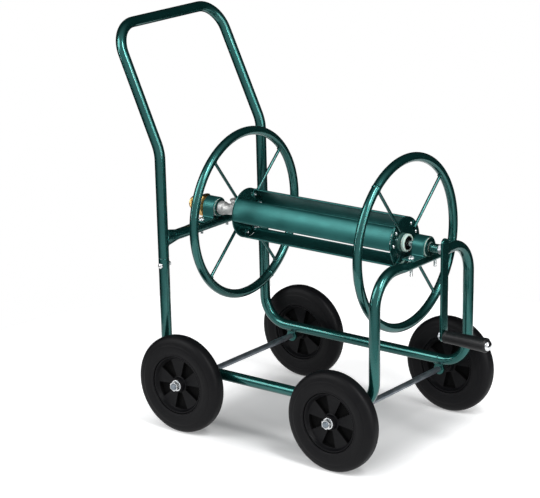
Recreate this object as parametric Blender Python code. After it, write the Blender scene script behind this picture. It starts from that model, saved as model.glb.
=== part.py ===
"""Garden hose reel cart, built as separate pieces.

A bent-tube cart on four wheels carries a hose reel that turns on an axis along the cart. The push handle
stands at the -X end, the crank at the +X end. X runs along the cart, Y across it and Z up. The origin is on
the ground under the middle of the whole cart. All sizes are in metres.
"""
import math

import bmesh
import bpy
from mathutils import Vector

# ---------------------------------------------------------------- driving dimensions
GAP = 0.0003                 # clearance between neighbouring pieces
OVERALL_WIDTH = 0.480        # over the ends of the axles
OVERALL_HEIGHT = 0.818
OVERALL_LENGTH = 0.804       # from the grip bar of the push handle to the cap of the crank grip

TUBE_R = 0.011               # frame tube
TUBE_WALL = 0.0028           # wall of the flattened stretches
SPIGOT_R = 0.0090            # reduced tube end that plugs into the next tube
SOCKET_R = 0.0094            # bore of the tube that takes a spigot
BORE_R = 0.0072              # bore of a tube that ends in spigots
TUBE_SIDES = 10
ROUND_SIDES = 12             # bolts, nuts, shafts and other small turned pieces

FRAME_Y = 0.168              # side tubes, from the middle plane
RAIL_Z = 0.1225              # bottom rails
REAR_X = -0.2715             # rear uprights, where the handle joins them
REAR_LEAN = 0.0205           # the uprights lean back by this much for each unit of height
ARCH_X = 0.246               # front arch
FOOT_BEND_R = 0.058          # bends between uprights and rails
ARCH_BEND_R = 0.065          # upper corners of the arch
RAIL_JOINT_X = 0.1795        # the rail meets the arch here
RAIL_SPIGOT = 0.028
ARCH_TOP_Z = 0.3965          # top of the flattened part of the arch
ARCH_FLAT = 0.009            # half height of the flattened part
ARCH_WIDE = 0.0125           # half width of the flattened part
ARCH_FLAT_HALF = 0.066       # the flattened part reaches this far to each side
ARCH_TAPER = 0.022

HANDLE_JOINT_Z = 0.3434      # the handle legs meet the rear uprights
HANDLE_SPIGOT = 0.040
HANDLE_BOLT_Z = 0.329
HANDLE_BEND_Z = 0.564        # above it the handle leans far outwards
HANDLE_TOP_Y = 0.1655        # the legs draw together a little towards the grip bar
HANDLE_BEND_R = 0.080
HANDLE_CORNER_R = 0.060

CROSSBAR_X = -0.272
CROSSBAR_TOP_Z = 0.3925
CROSSBAR_FLAT = 0.0095
CROSSBAR_WIDE = 0.0125
CROSSBAR_END_HIGH = 0.0165   # half height where it is pinched and welded to the leg
CROSSBAR_END_THIN = 0.0080

WHEEL_R = 0.1015
WHEEL_X = (-0.197, 0.179)
WHEEL_Y = 0.210
TYRE_HALF = 0.019
RIM_R = 0.0597
WHEEL_SIDES = 32             # the wheel rests on one flat facet of its tread
RIM_SIDES = 24
WINDOW_COUNT = 5
WINDOW_HALF_DEG = 16.5
WINDOW_FIRST_DEG = 58.0
WINDOW_IN = 0.017
WINDOW_OUT = 0.0535
POCKET_FLOOR = -0.003        # from the wheel's middle plane

AXLE_R = 0.006
AXLE_BORE_R = 0.0064
LUG_HALF = 0.003
LUG_R = 0.012
HUB_IN = 0.019               # hub end towards the cart, from the wheel's middle plane
HUB_OUT = 0.0165             # hub end away from the cart
SPACER_R = 0.009
WASHER_R = 0.0115
WASHER_T = 0.0015
AXLE_NUT_R = 0.0105          # over its corners
AXLE_NUT_T = 0.0075

REEL_Z = 0.415               # reel axis
RING_X = (-0.1898, 0.2069)
RING_R = 0.1700              # centre line of the flange ring
RING_TUBE_R = 0.0095
RING_SEGMENTS = 36
RING_SIDES = 8
SPOKE_R = 0.0032
SPOKE_DEGREES = (43.0, 128.5, 223.0, 308.5)
SPOKE_START = 0.037
SPOKE_END = 0.1593
DISC_R = 0.052
DISC_T = 0.003
DISC_INSET = 0.0045          # disc middle plane, inwards from the plane of the spokes
PANEL_R = 0.052
PANEL_T = 0.0015
PANEL_DEGREES = (40.0, 160.0, 280.0)
PANEL_HALF_DEG = 29.0
PANEL_STEPS = 8
TAB_SPREAD_DEG = 19.0
TAB_HALF = 0.006
TAB_IN = 0.034
SHAFT_R = 0.006
SHAFT_X = (-0.1955, 0.2955)
SHAFT_BORE_R = 0.0064

SADDLE_X = (CROSSBAR_X, ARCH_X)
SADDLE_HALF = 0.014
SADDLE_R = 0.0185            # inside of the strap
SADDLE_T = 0.003
SADDLE_FOOT = 0.054          # half width over the feet
SADDLE_BOLT_Y = 0.0425
BOLT_R = 0.003
BOLT_HOLE_R = 0.0034
ARCH_BOLT_END = 0.3633
CROSSBAR_BOLT_END = 0.3655
BUSH_R = 0.0182

INLET_X = CROSSBAR_X         # middle of the bearing that carries the water inlet
COUPLING_OFFSET = 0.046
HEX_R = 0.0255               # hexagon of the brass inlet, over its corners
COUPLING_R = 0.0135
ELBOW_X = -0.212             # outlet of the elbow
ELBOW_BEND_R = 0.020
ELBOW_R = 0.0118
BEAD_R = 0.0143
BOSS_R = 0.0105
JOURNAL_R = 0.0095
WATER_R = 0.0065

ARM_X = (0.2925, 0.2975)
ARM_HALF = 0.011
ARM_TOP_Z = 0.438
GRIP_Z = 0.239
GRIP_BOLT_R = 0.004
GRIP_END_X = 0.3945

# ---------------------------------------------------------------- clean start
for thing in list(bpy.data.objects):
    bpy.data.objects.remove(thing, do_unlink=True)


# ---------------------------------------------------------------- materials
def material(name, colour, roughness, metallic):
    """A Principled material with one colour."""
    made = bpy.data.materials.new(name)
    made.use_nodes = True
    shader = made.node_tree.nodes["Principled BSDF"]
    shader.inputs["Base Color"].default_value = (*colour, 1.0)
    shader.inputs["Roughness"].default_value = roughness
    shader.inputs["Metallic"].default_value = metallic
    made.diffuse_color = (*colour, 1.0)
    return made


GREEN = material("green_enamel", (0.015, 0.115, 0.105), 0.25, 0.3)
RUBBER = material("tyre_rubber", (0.022, 0.022, 0.024), 0.75, 0.0)
BLACK = material("black_plastic", (0.026, 0.026, 0.030), 0.50, 0.0)
ZINC = material("zinc_plate", (0.72, 0.73, 0.74), 0.25, 1.0)
STEEL = material("grey_steel", (0.30, 0.33, 0.36), 0.40, 1.0)
BRASS = material("brass", (0.72, 0.48, 0.20), 0.30, 1.0)
CAST = material("galvanised_cast", (0.60, 0.60, 0.59), 0.60, 0.8)
MINT = material("pale_plastic", (0.62, 0.78, 0.71), 0.45, 0.0)
CHROME = material("chrome", (0.80, 0.80, 0.82), 0.08, 1.0)


# ---------------------------------------------------------------- shape helpers
def publish(name, mesh_builder, surface, origin=(0.0, 0.0, 0.0), sharp_deg=35.0):
    """Turn a bmesh in world coordinates into an object whose origin is the given point."""
    bmesh.ops.recalc_face_normals(mesh_builder, faces=mesh_builder.faces)
    bmesh.ops.translate(mesh_builder, verts=mesh_builder.verts, vec=-Vector(origin))
    mesh = bpy.data.meshes.new(name)
    mesh_builder.to_mesh(mesh)
    mesh_builder.free()
    mesh.shade_smooth()
    mesh.set_sharp_from_angle(angle=math.radians(sharp_deg))
    mesh.materials.append(surface)
    made = bpy.data.objects.new(name, mesh)
    made.location = origin
    bpy.context.collection.objects.link(made)
    return made


def guide(made):
    """Mark an object as a cutter or a guide, which is not a piece of the cart."""
    made.hide_render = True
    made.display_type = "WIRE"
    return made


def combine(target, tool, operation):
    """Add a live Boolean to the target; the tool becomes a guide."""
    guide(tool)
    change = target.modifiers.new(tool.name, "BOOLEAN")
    change.operation = operation
    change.solver = "EXACT"
    change.object = tool


def skin(builder, rings, loop=False):
    """Join neighbouring rings of vertices with quads; a one-vertex ring is a pole."""
    pairs = list(zip(rings, rings[1:]))
    if loop:
        pairs.append((rings[-1], rings[0]))
    for first, second in pairs:
        count = max(len(first), len(second))
        for k in range(count):
            corners = [first[k % len(first)], first[(k + 1) % len(first)],
                       second[(k + 1) % len(second)], second[k % len(second)]]
            face = list(dict.fromkeys(corners))
            builder.faces.new(face)


def bent_path(corners, radii, steps=4):
    """Points of a polyline whose inner corners are rounded with the given radii."""
    points = [Vector(corners[0])]
    for before, here, after, radius in zip(corners, corners[1:], corners[2:], radii):
        corner = Vector(here)
        inward = (corner - Vector(before)).normalized()
        outward = (Vector(after) - corner).normalized()
        turn = inward.angle(outward)
        start = corner - inward * radius * math.tan(turn / 2)
        side = (outward - inward * inward.dot(outward)).normalized()
        centre = start + side * radius
        for k in range(steps + 1):
            angle = turn * k / steps
            points.append(centre - side * radius * math.cos(angle) + inward * radius * math.sin(angle))
    points.append(Vector(corners[-1]))
    return points


def insert_points(path, extra):
    """Add points that lie on straight runs of the path, in their right places."""
    points = list(path)
    for point in map(Vector, extra):
        for k in range(len(points) - 1):
            run = points[k + 1] - points[k]
            along = (point - points[k]).dot(run) / run.length_squared
            off = (point - points[k] - run * along).length
            if 0.0 < along < 1.0 and off < 1e-5:
                points.insert(k + 1, point)
                break
    return points


def carried_frames(path, normal):
    """Carry a normal along the path without twist: (point, normal, binormal) for each point."""
    frames = []
    current = Vector(normal)
    for k, point in enumerate(path):
        ahead = path[min(k + 1, len(path) - 1)] - point
        behind = point - path[max(k - 1, 0)]
        tangent = (ahead.normalized() + behind.normalized()).normalized()
        current = (current - tangent * current.dot(tangent)).normalized()
        frames.append((point, current, tangent.cross(current)))
    return frames


def section_ring(builder, frame, half_n, half_b, sides):
    """One elliptical ring of vertices around a path point."""
    point, normal, binormal = frame
    ring = []
    for k in range(sides):
        angle = 2 * math.pi * k / sides
        offset = normal * half_n * math.cos(angle) + binormal * half_b * math.sin(angle)
        ring.append(builder.verts.new(point + offset))
    return ring


def tube(path, normal, outer, bore=None, sides=TUBE_SIDES):
    """A swept tube; outer and bore give a list of (half_n, half_b) for a path point, two at a step."""
    builder = bmesh.new()
    frames = carried_frames(path, normal)
    skins = []
    for sections in (outer, bore):
        if sections is None:
            continue
        rings = []
        for frame in frames:
            for half_n, half_b in sections(frame[0]):
                rings.append(section_ring(builder, frame, half_n, half_b, sides))
        skins.append(rings)
    if bore is None:
        skin(builder, skins[0])
        builder.faces.new(skins[0][0])
        builder.faces.new(skins[0][-1])
    else:
        skin(builder, skins[0] + skins[1][::-1], loop=True)
    return builder


def turned(profile, axis, centre, sides=ROUND_SIDES, loop=False, phase=0.0):
    """Turn (along, radius) stations about an axis; a third value "hex" makes that station a hexagon."""
    builder = bmesh.new()
    across = [k for k in range(3) if k != axis]
    rings = []
    for station in profile:
        along, radius = station[:2]
        hexagon = len(station) > 2
        ring = []
        for k in range(1 if radius == 0 else sides):
            angle = 2 * math.pi * (k + phase) / sides
            reach = radius * (math.cos(math.pi / 6) if hexagon and k % 2 else 1.0)
            point = Vector(centre)
            point[axis] += along
            point[across[0]] += reach * math.cos(angle)
            point[across[1]] += reach * math.sin(angle)
            ring.append(builder.verts.new(point))
        rings.append(ring)
    skin(builder, rings, loop=loop)
    if not loop and len(rings[0]) > 1:
        builder.faces.new(rings[0])
    if not loop and len(rings[-1]) > 1:
        builder.faces.new(rings[-1])
    return builder


def sleeve(inner, outer, low, high, axis, centre, sides=ROUND_SIDES, shape=()):
    """A straight ring or nut: a bore and an outside between two flat ends."""
    profile = [(low, inner), (low, outer, *shape), (high, outer, *shape), (high, inner)]
    return turned(profile, axis, centre, sides=sides, loop=True)


def rod(radius, low, high, axis, centre, sides=ROUND_SIDES):
    """A plain round bar."""
    return turned([(low, radius), (high, radius)], axis, centre, sides=sides)


def plate(outline, axis, low, high):
    """A flat plate: an outline in the plane across the axis, between two positions along it."""
    builder = bmesh.new()
    across = [k for k in range(3) if k != axis]
    rings = []
    for level in (low, high):
        ring = []
        for first, second in outline:
            point = Vector((0.0, 0.0, 0.0))
            point[axis] = level
            point[across[0]] = first
            point[across[1]] = second
            ring.append(builder.verts.new(point))
        rings.append(ring)
    skin(builder, rings)
    builder.faces.new(rings[0])
    builder.faces.new(rings[1])
    return builder


def merged(builders):
    """Put several bmeshes into one."""
    total = bmesh.new()
    for builder in builders:
        copy = bpy.data.meshes.new("part_of_tool")
        builder.to_mesh(copy)
        builder.free()
        total.from_mesh(copy)
        bpy.data.meshes.remove(copy)
    return total


def arc(radius, start_deg, end_deg, steps, centre=(0.0, 0.0)):
    """Points on a circular arc."""
    points = []
    for k in range(steps + 1):
        angle = math.radians(start_deg + (end_deg - start_deg) * k / steps)
        points.append((centre[0] + radius * math.cos(angle), centre[1] + radius * math.sin(angle)))
    return points


# ---------------------------------------------------------------- frame
def upright_x(height):
    """The rear uprights and the handle's legs share one straight, slightly leaning line."""
    return REAR_X - REAR_LEAN * (height - HANDLE_JOINT_Z)


def push_handle():
    """The U of the handle: two legs with spigots, two lean bends, two corners and the grip bar."""
    top_x = -OVERALL_LENGTH / 2 + TUBE_R
    top_z = OVERALL_HEIGHT - TUBE_R
    foot_z = HANDLE_JOINT_Z - HANDLE_SPIGOT
    shoulder_z = HANDLE_JOINT_Z + GAP
    one_side = [(upright_x(foot_z), FRAME_Y, foot_z), (upright_x(HANDLE_BEND_Z), FRAME_Y, HANDLE_BEND_Z),
                (top_x, HANDLE_TOP_Y, top_z)]
    corners = [(x, -y, z) for x, y, z in one_side] + one_side[::-1]
    radii = (HANDLE_BEND_R, HANDLE_CORNER_R, HANDLE_CORNER_R, HANDLE_BEND_R)
    path = bent_path(corners, radii)
    path = insert_points(path, [(upright_x(shoulder_z), side * FRAME_Y, shoulder_z) for side in (-1, 1)])

    def outside(point):
        if abs(point.z - shoulder_z) < 1e-6:
            steps = [(SPIGOT_R, SPIGOT_R), (TUBE_R, TUBE_R)]
            return steps if point.y < 0 else steps[::-1]
        radius = SPIGOT_R if point.z < shoulder_z else TUBE_R
        return [(radius, radius)]

    made = publish("push_handle", tube(path, (0, 1, 0), outside, lambda point: [(BORE_R, BORE_R)]), GREEN)
    holes = merged([rod(BOLT_HOLE_R, -0.02, 0.02, 1, (upright_x(HANDLE_BOLT_Z), side * FRAME_Y, HANDLE_BOLT_Z),
                        sides=8) for side in (-1, 1)])
    combine(made, publish("handle_bolt_holes", holes, ZINC), "DIFFERENCE")
    return made


def side_rail(name, side):
    """Upright, foot bend and bottom rail in one open-ended tube."""
    y = side * FRAME_Y
    corners = [(REAR_X, y, HANDLE_JOINT_Z), (upright_x(RAIL_Z), y, RAIL_Z), (RAIL_JOINT_X, y, RAIL_Z)]
    path = bent_path(corners, (FOOT_BEND_R,), steps=5)
    made = publish(name, tube(path, (0, 1, 0), lambda point: [(TUBE_R, TUBE_R)],
                              lambda point: [(SOCKET_R, SOCKET_R)]), GREEN)
    hole = rod(BOLT_HOLE_R, -0.02, 0.02, 1, (upright_x(HANDLE_BOLT_Z), y, HANDLE_BOLT_Z), sides=8)
    combine(made, publish(name + "_bolt_hole", hole, ZINC), "DIFFERENCE")
    return made


def front_arch():
    """The arch over the crank end: spigots, foot bends, uprights, corners and a flattened top."""
    top_z = ARCH_TOP_Z - ARCH_FLAT
    start_x = RAIL_JOINT_X - RAIL_SPIGOT
    shoulder_x = RAIL_JOINT_X + GAP
    one_side = [(start_x, RAIL_Z), (ARCH_X, RAIL_Z), (ARCH_X, top_z)]
    corners = [(x, -FRAME_Y, z) for x, z in one_side] + [(x, FRAME_Y, z) for x, z in one_side[::-1]]
    radii = (FOOT_BEND_R, ARCH_BEND_R, ARCH_BEND_R, FOOT_BEND_R)
    path = bent_path(corners, radii)
    steps = [(shoulder_x, side * FRAME_Y, RAIL_Z) for side in (-1, 1)]
    flats = [(ARCH_X, side * reach, top_z) for side in (-1, 1)
             for reach in (ARCH_FLAT_HALF, ARCH_FLAT_HALF + ARCH_TAPER)]
    path = insert_points(path, steps + flats)

    def squeeze(point, radius, wall):
        on_top = abs(point.z - top_z) < 1e-6 and abs(point.y) <= ARCH_FLAT_HALF + 1e-6
        if on_top:
            return [(ARCH_FLAT - wall, ARCH_WIDE - wall)]
        return [(radius, radius)]

    def outside(point):
        if abs(point.x - shoulder_x) < 1e-6:
            change = [(SPIGOT_R, SPIGOT_R), (TUBE_R, TUBE_R)]
            return change if point.y < 0 else change[::-1]
        return squeeze(point, SPIGOT_R if point.x < shoulder_x else TUBE_R, 0.0)

    made = publish("front_arch", tube(path, (0, 1, 0), outside,
                                      lambda point: squeeze(point, BORE_R, TUBE_WALL)), GREEN)
    holes = merged([rod(BOLT_HOLE_R, -0.03, 0.03, 2, (ARCH_X, side * SADDLE_BOLT_Y, top_z), sides=8)
                    for side in (-1, 1)])
    combine(made, publish("arch_bolt_holes", holes, ZINC), "DIFFERENCE")
    return made


def rear_crossbar():
    """The bar between the handle legs: pinched tall at the welds, flattened in the middle."""
    middle_z = CROSSBAR_TOP_Z - CROSSBAR_FLAT
    stations = ((FRAME_Y, CROSSBAR_END_HIGH, CROSSBAR_END_THIN), (0.152, CROSSBAR_END_HIGH, CROSSBAR_END_THIN),
                (0.126, TUBE_R, TUBE_R), (ARCH_FLAT_HALF, CROSSBAR_FLAT, CROSSBAR_WIDE))
    sizes = {round(reach, 4): (high, wide) for reach, high, wide in stations}
    reaches = [station[0] for station in stations]
    path = [Vector((CROSSBAR_X, y, middle_z)) for y in reaches + [-y for y in reaches[::-1]]]

    def outside(point):
        return [sizes[round(abs(point.y), 4)]]

    def bore(point):
        return [(half_n - TUBE_WALL, half_b - TUBE_WALL) for half_n, half_b in outside(point)]

    made = publish("rear_crossbar", tube(path, (0, 0, 1), outside, bore), GREEN)
    legs = []
    for side in (-1, 1):
        ends = [Vector((upright_x(z), side * FRAME_Y, z)) for z in (middle_z - 0.05, middle_z + 0.05)]
        legs.append(tube(ends, (0, 1, 0), lambda point: [(TUBE_R + GAP, TUBE_R + GAP)], sides=2 * TUBE_SIDES))
    combine(made, publish("crossbar_copes", merged(legs), GREEN), "DIFFERENCE")
    holes = merged([rod(BOLT_HOLE_R, -0.03, 0.03, 2, (CROSSBAR_X, side * SADDLE_BOLT_Y, middle_z), sides=8)
                    for side in (-1, 1)])
    combine(made, publish("crossbar_bolt_holes", holes, ZINC), "DIFFERENCE")


def handle_bolts():
    """A round-headed bolt and a nut through each handle joint."""
    for name, side in SIDES:
        centre = (upright_x(HANDLE_BOLT_Z), side * FRAME_Y, HANDLE_BOLT_Z)
        seat = side * (TUBE_R + GAP)
        head = [(seat + side * 0.0035, 0), (seat + side * 0.003, 0.0032), (seat + side * 0.0015, 0.0052),
                (seat, 0.0056), (seat, BOLT_R), (-side * 0.0205, BOLT_R)]
        publish("handle_bolt_" + name, turned(head, 1, centre, sides=12), ZINC)
        nut = sleeve(BOLT_R + GAP, 0.0058, -side * (TUBE_R + GAP), -side * 0.0165, 1, centre, shape=("hex",))
        publish("handle_nut_" + name, nut, ZINC)


def axle_set(end, x):
    """One fixed axle with its lugs, spacers, washers and nuts."""
    centre = (x, 0.0, WHEEL_R)
    tip = OVERALL_WIDTH / 2
    profile = [(-tip, 0.0045), (-tip + 0.001, AXLE_R), (tip - 0.001, AXLE_R), (tip, 0.0045)]
    publish(end + "_axle", turned(profile, 1, centre), STEEL)
    lug_top = RAIL_Z - TUBE_R - GAP
    for name, side in SIDES:
        label = end + "_" + name
        low, high = sorted((side * FRAME_Y - LUG_HALF, side * FRAME_Y + LUG_HALF))
        outline = [(x + LUG_R, lug_top), (x - LUG_R, lug_top)] + arc(LUG_R, 180, 360, 8, (x, WHEEL_R))
        lug = publish("axle_lug_" + label, plate(outline, 1, low, high), GREEN)
        hole = rod(AXLE_R + GAP, -0.02, 0.02, 1, (x, side * FRAME_Y, WHEEL_R), sides=16)
        combine(lug, publish("axle_lug_hole_" + label, hole, ZINC), "DIFFERENCE")
        inner = FRAME_Y + LUG_HALF + GAP
        outer = WHEEL_Y - HUB_IN - GAP
        publish("spacer_" + label, sleeve(AXLE_BORE_R, SPACER_R, side * inner, side * outer, 1, centre), BLACK)
        washer = WHEEL_Y + HUB_OUT + GAP
        publish("washer_" + label, sleeve(AXLE_BORE_R, WASHER_R, side * washer, side * (washer + WASHER_T),
                                          1, centre, sides=16), ZINC)
        nut = washer + WASHER_T + GAP
        publish("axle_nut_" + label, sleeve(AXLE_BORE_R, AXLE_NUT_R, side * nut, side * (nut + AXLE_NUT_T), 1,
                                            centre, shape=("hex",)), ZINC)


# ---------------------------------------------------------------- wheels
def tyre_mesh(centre):
    """A solid rubber tyre with a flat tread, round shoulders and a bore that fits the rim."""
    tread = WHEEL_R / math.cos(math.pi / WHEEL_SIDES)
    bore = RIM_R + 2 * GAP
    half = TYRE_HALF
    side_profile = [(half - 0.0105, tread), (half - 0.003, tread - 0.0045), (half, tread - 0.018),
                    (half - 0.0035, bore)]
    profile = side_profile + [(-along, radius) for along, radius in side_profile[::-1]]
    return turned(profile, 1, centre, sides=WHEEL_SIDES, loop=True, phase=0.5)


def rim_mesh(centre):
    """The plastic hub: bearing barrel, dished web and outer band."""
    half = TYRE_HALF - 0.004
    profile = [(-HUB_IN, AXLE_BORE_R), (-HUB_IN, 0.0140), (-0.008, 0.0145), (-0.008, RIM_R - 0.006),
               (-half, RIM_R - 0.0035), (-half, RIM_R), (half, RIM_R), (half, RIM_R - 0.0035),
               (0.008, RIM_R - 0.006), (0.008, 0.0145), (HUB_OUT, 0.0140), (HUB_OUT, AXLE_BORE_R)]
    return turned(profile, 1, centre, sides=RIM_SIDES, loop=True, phase=0.5)


def pocket_mesh(centre):
    """Wedge-shaped pockets between the spokes, on the outer face of the web."""
    wedges = []
    for k in range(WINDOW_COUNT):
        middle = WINDOW_FIRST_DEG + 360.0 * k / WINDOW_COUNT
        start, end = middle - WINDOW_HALF_DEG, middle + WINDOW_HALF_DEG
        outline = arc(WINDOW_OUT, start, end, 2) + arc(WINDOW_IN, end, start, 1)
        wedge = plate(outline, 1, POCKET_FLOOR, TYRE_HALF)
        bmesh.ops.translate(wedge, verts=wedge.verts, vec=Vector(centre))
        wedges.append(wedge)
    return merged(wedges)


def wheels():
    """Four wheels, each a tyre on a rim, with its origin on its own axle."""
    for end, x in zip(("rear", "front"), WHEEL_X):
        for name, side in SIDES:
            centre = (x, side * WHEEL_Y, WHEEL_R)
            label = end + "_" + name
            tyre = publish("tyre_" + label, tyre_mesh(centre), RUBBER, origin=centre)
            rim = publish("rim_" + label, rim_mesh(centre), BLACK, origin=centre)
            pockets = publish("rim_pockets_" + label, pocket_mesh(centre), BLACK, origin=centre)
            combine(rim, pockets, "DIFFERENCE")
            if side > 0:
                continue
            for made in (tyre, rim, pockets):
                made.rotation_euler = (0.0, 0.0, math.pi)


# ---------------------------------------------------------------- bearings and water inlet
def bearing(name, x, base, bolt_end):
    """A strap bent over its bush and bolted down through two feet."""
    foot = base + GAP
    outline = [(SADDLE_FOOT, foot), (SADDLE_FOOT, foot + SADDLE_T), (SADDLE_R + SADDLE_T, foot + SADDLE_T)]
    outline += arc(SADDLE_R + SADDLE_T, 0, 180, 10, (0.0, REEL_Z))
    outline += [(-SADDLE_R - SADDLE_T, foot + SADDLE_T), (-SADDLE_FOOT, foot + SADDLE_T), (-SADDLE_FOOT, foot)]
    outline += [(-SADDLE_R, foot)] + arc(SADDLE_R, 180, 0, 10, (0.0, REEL_Z)) + [(SADDLE_R, foot)]
    strap = publish(name + "_bearing_strap", plate(outline, 0, x - SADDLE_HALF, x + SADDLE_HALF), GREEN)
    holes = merged([rod(BOLT_HOLE_R, -0.02, 0.02, 2, (x, side * SADDLE_BOLT_Y, foot), sides=8)
                    for side in (-1, 1)])
    combine(strap, publish(name + "_strap_holes", holes, ZINC), "DIFFERENCE")
    for label, side in SIDES:
        seat = foot + SADDLE_T + GAP
        profile = [(bolt_end - seat, BOLT_R - 0.0005), (bolt_end - seat + 0.001, BOLT_R), (0.0, BOLT_R),
                   (0.0, 0.0058, "hex"), (0.004, 0.0058, "hex")]
        bolt = turned(profile, 2, (x, side * SADDLE_BOLT_Y, seat))
        publish(name + "_bearing_bolt_" + label, bolt, ZINC)


def bushes():
    """Plastic bushes held by the straps, and the collar that keeps the reel's place on its shaft."""
    axis_point = (0.0, 0.0, REEL_Z)
    start = SADDLE_X[0] - SADDLE_HALF - 0.0008
    publish("inlet_bush", sleeve(JOURNAL_R + GAP, BUSH_R, start, start + 0.0296, 0, axis_point, sides=16), MINT)
    start = SADDLE_X[1] - SADDLE_HALF
    profile = [(start - 0.0075, SHAFT_BORE_R), (start - 0.0075, 0.0095), (start - 0.0008, 0.0095),
               (start - 0.0008, BUSH_R), (start + 0.0288, BUSH_R), (start + 0.0288, SHAFT_BORE_R)]
    publish("crank_bush", turned(profile, 0, axis_point, sides=16, loop=True), MINT)


def water_inlet():
    """Brass inlet: a hex shoulder, a tail for the swivel coupling and a spigot into the elbow."""
    bearing_point = (INLET_X, 0.0, REEL_Z)
    profile = [(-0.0410, 0.0058), (-0.0410, 0.0110), (-0.0385, 0.0110), (-0.0385, 0.0090), (-0.0300, 0.0090),
               (-0.0300, HEX_R, "hex"), (-0.0180, HEX_R, "hex"), (-0.0180, 0.0060), (-0.0045, 0.0060),
               (-0.0045, 0.0040)]
    publish("inlet_body", turned(profile, 0, bearing_point, loop=True), BRASS)
    coupling = [(-0.0350, 0.0095), (-0.0350, COUPLING_R), (-0.0570, COUPLING_R), (-0.0570, 0.0113),
                (-0.0380, 0.0113), (-0.0380, 0.0095)]
    publish("inlet_coupling", turned(coupling, 0, bearing_point, loop=True), BRASS,
            origin=(INLET_X - COUPLING_OFFSET, 0.0, REEL_Z))


# ---------------------------------------------------------------- reel
def flange(end, plane_x, inward):
    """One flange: a ring of tube, and a disc with four rod spokes."""
    origin = (plane_x, 0.0, REEL_Z)
    circle = arc(RING_TUBE_R, 0, 360, RING_SIDES, (0.0, RING_R))[:-1]
    ring = turned(circle, 0, origin, sides=RING_SEGMENTS, loop=True)
    publish(end + "_flange_ring", ring, GREEN, origin=origin)
    disc_x = inward * DISC_INSET
    disc = sleeve(SHAFT_BORE_R, DISC_R, disc_x - DISC_T / 2, disc_x + DISC_T / 2, 0, origin, sides=24)
    made = publish(end + "_flange_spider", disc, GREEN, origin=origin)
    bars = []
    for degrees in SPOKE_DEGREES:
        bar = rod(SPOKE_R, SPOKE_START, SPOKE_END, 1, (0.0, 0.0, 0.0), sides=6)
        turn = math.radians(degrees)
        for vert in bar.verts:
            x, y, z = vert.co
            vert.co = (plane_x + x, y * math.cos(turn) - z * math.sin(turn),
                       REEL_Z + y * math.sin(turn) + z * math.cos(turn))
        bars.append(bar)
    combine(made, publish(end + "_spokes", merged(bars), GREEN, origin=origin), "UNION")


def drum_panel(number, middle_deg, start_x, end_x):
    """A curved sheet with two bent tabs at each end."""
    origin = (0.0, 0.0, REEL_Z)
    first, last = middle_deg - PANEL_HALF_DEG, middle_deg + PANEL_HALF_DEG
    outline = arc(PANEL_R, first, last, PANEL_STEPS, (0.0, REEL_Z))
    outline += arc(PANEL_R - PANEL_T, last, first, PANEL_STEPS, (0.0, REEL_Z))
    made = publish("drum_panel_" + str(number), plate(outline, 0, start_x, end_x), GREEN, origin=origin)
    tabs = []
    for low, high in ((start_x, start_x + PANEL_T), (end_x - PANEL_T, end_x)):
        for spread in (-TAB_SPREAD_DEG, TAB_SPREAD_DEG):
            turn = math.radians(middle_deg + spread)
            corners = [(TAB_IN, -TAB_HALF), (PANEL_R - 0.0007, -TAB_HALF), (PANEL_R - 0.0007, TAB_HALF),
                       (TAB_IN, TAB_HALF)]
            turned_corners = [(u * math.cos(turn) - v * math.sin(turn),
                               REEL_Z + u * math.sin(turn) + v * math.cos(turn)) for u, v in corners]
            tabs.append(plate(turned_corners, 0, low, high))
    combine(made, publish("panel_tabs_" + str(number), merged(tabs), GREEN, origin=origin), "UNION")


def inlet_elbow():
    """A cast elbow: journal in the bush, bead, bend, beaded outlet, and a boss for the reel shaft."""
    origin = Vector((0.0, 0.0, REEL_Z))
    bend_start = ELBOW_X - ELBOW_BEND_R
    straight = [(-0.0170, JOURNAL_R), (0.0170, JOURNAL_R), (0.0170, BEAD_R), (0.0290, BEAD_R),
                (0.0300, ELBOW_R), (bend_start - INLET_X, ELBOW_R)]
    stations = [(Vector((INLET_X + x, 0.0, REEL_Z)), 0.0, radius, WATER_R) for x, radius in straight]
    for turn in (math.radians(22.5 * k) for k in range(1, 5)):
        offset = Vector((ELBOW_BEND_R * math.sin(turn), 0.0, ELBOW_BEND_R * (1 - math.cos(turn))))
        stations.append((Vector((bend_start, 0.0, REEL_Z)) + offset, turn, ELBOW_R, WATER_R))
    for rise in (0.0, 0.0045):
        stations.append((Vector((ELBOW_X, 0.0, REEL_Z + ELBOW_BEND_R + rise)), math.pi / 2, BEAD_R, WATER_R))
    builder = bmesh.new()
    outer_rings = []
    inner_rings = []
    for point, turn, outer, bore in stations:
        frame = (point, Vector((0, 1, 0)), Vector((-math.sin(turn), 0, math.cos(turn))))
        outer_rings.append(section_ring(builder, frame, outer, outer, ROUND_SIDES))
        inner_rings.append(section_ring(builder, frame, bore, bore, ROUND_SIDES))
    skin(builder, outer_rings + inner_rings[::-1], loop=True)
    made = publish("inlet_elbow", builder, CAST, origin=origin)
    boss_end = RING_X[0] + DISC_INSET - DISC_T / 2 - GAP
    boss = rod(BOSS_R, ELBOW_X + 0.0095, boss_end, 0, origin)
    combine(made, publish("elbow_boss", boss, CAST, origin=origin), "UNION")
    socket = rod(SHAFT_BORE_R, SHAFT_X[0] - 0.0005, boss_end + 0.001, 0, origin)
    combine(made, publish("elbow_shaft_socket", socket, CAST, origin=origin), "DIFFERENCE")


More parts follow.
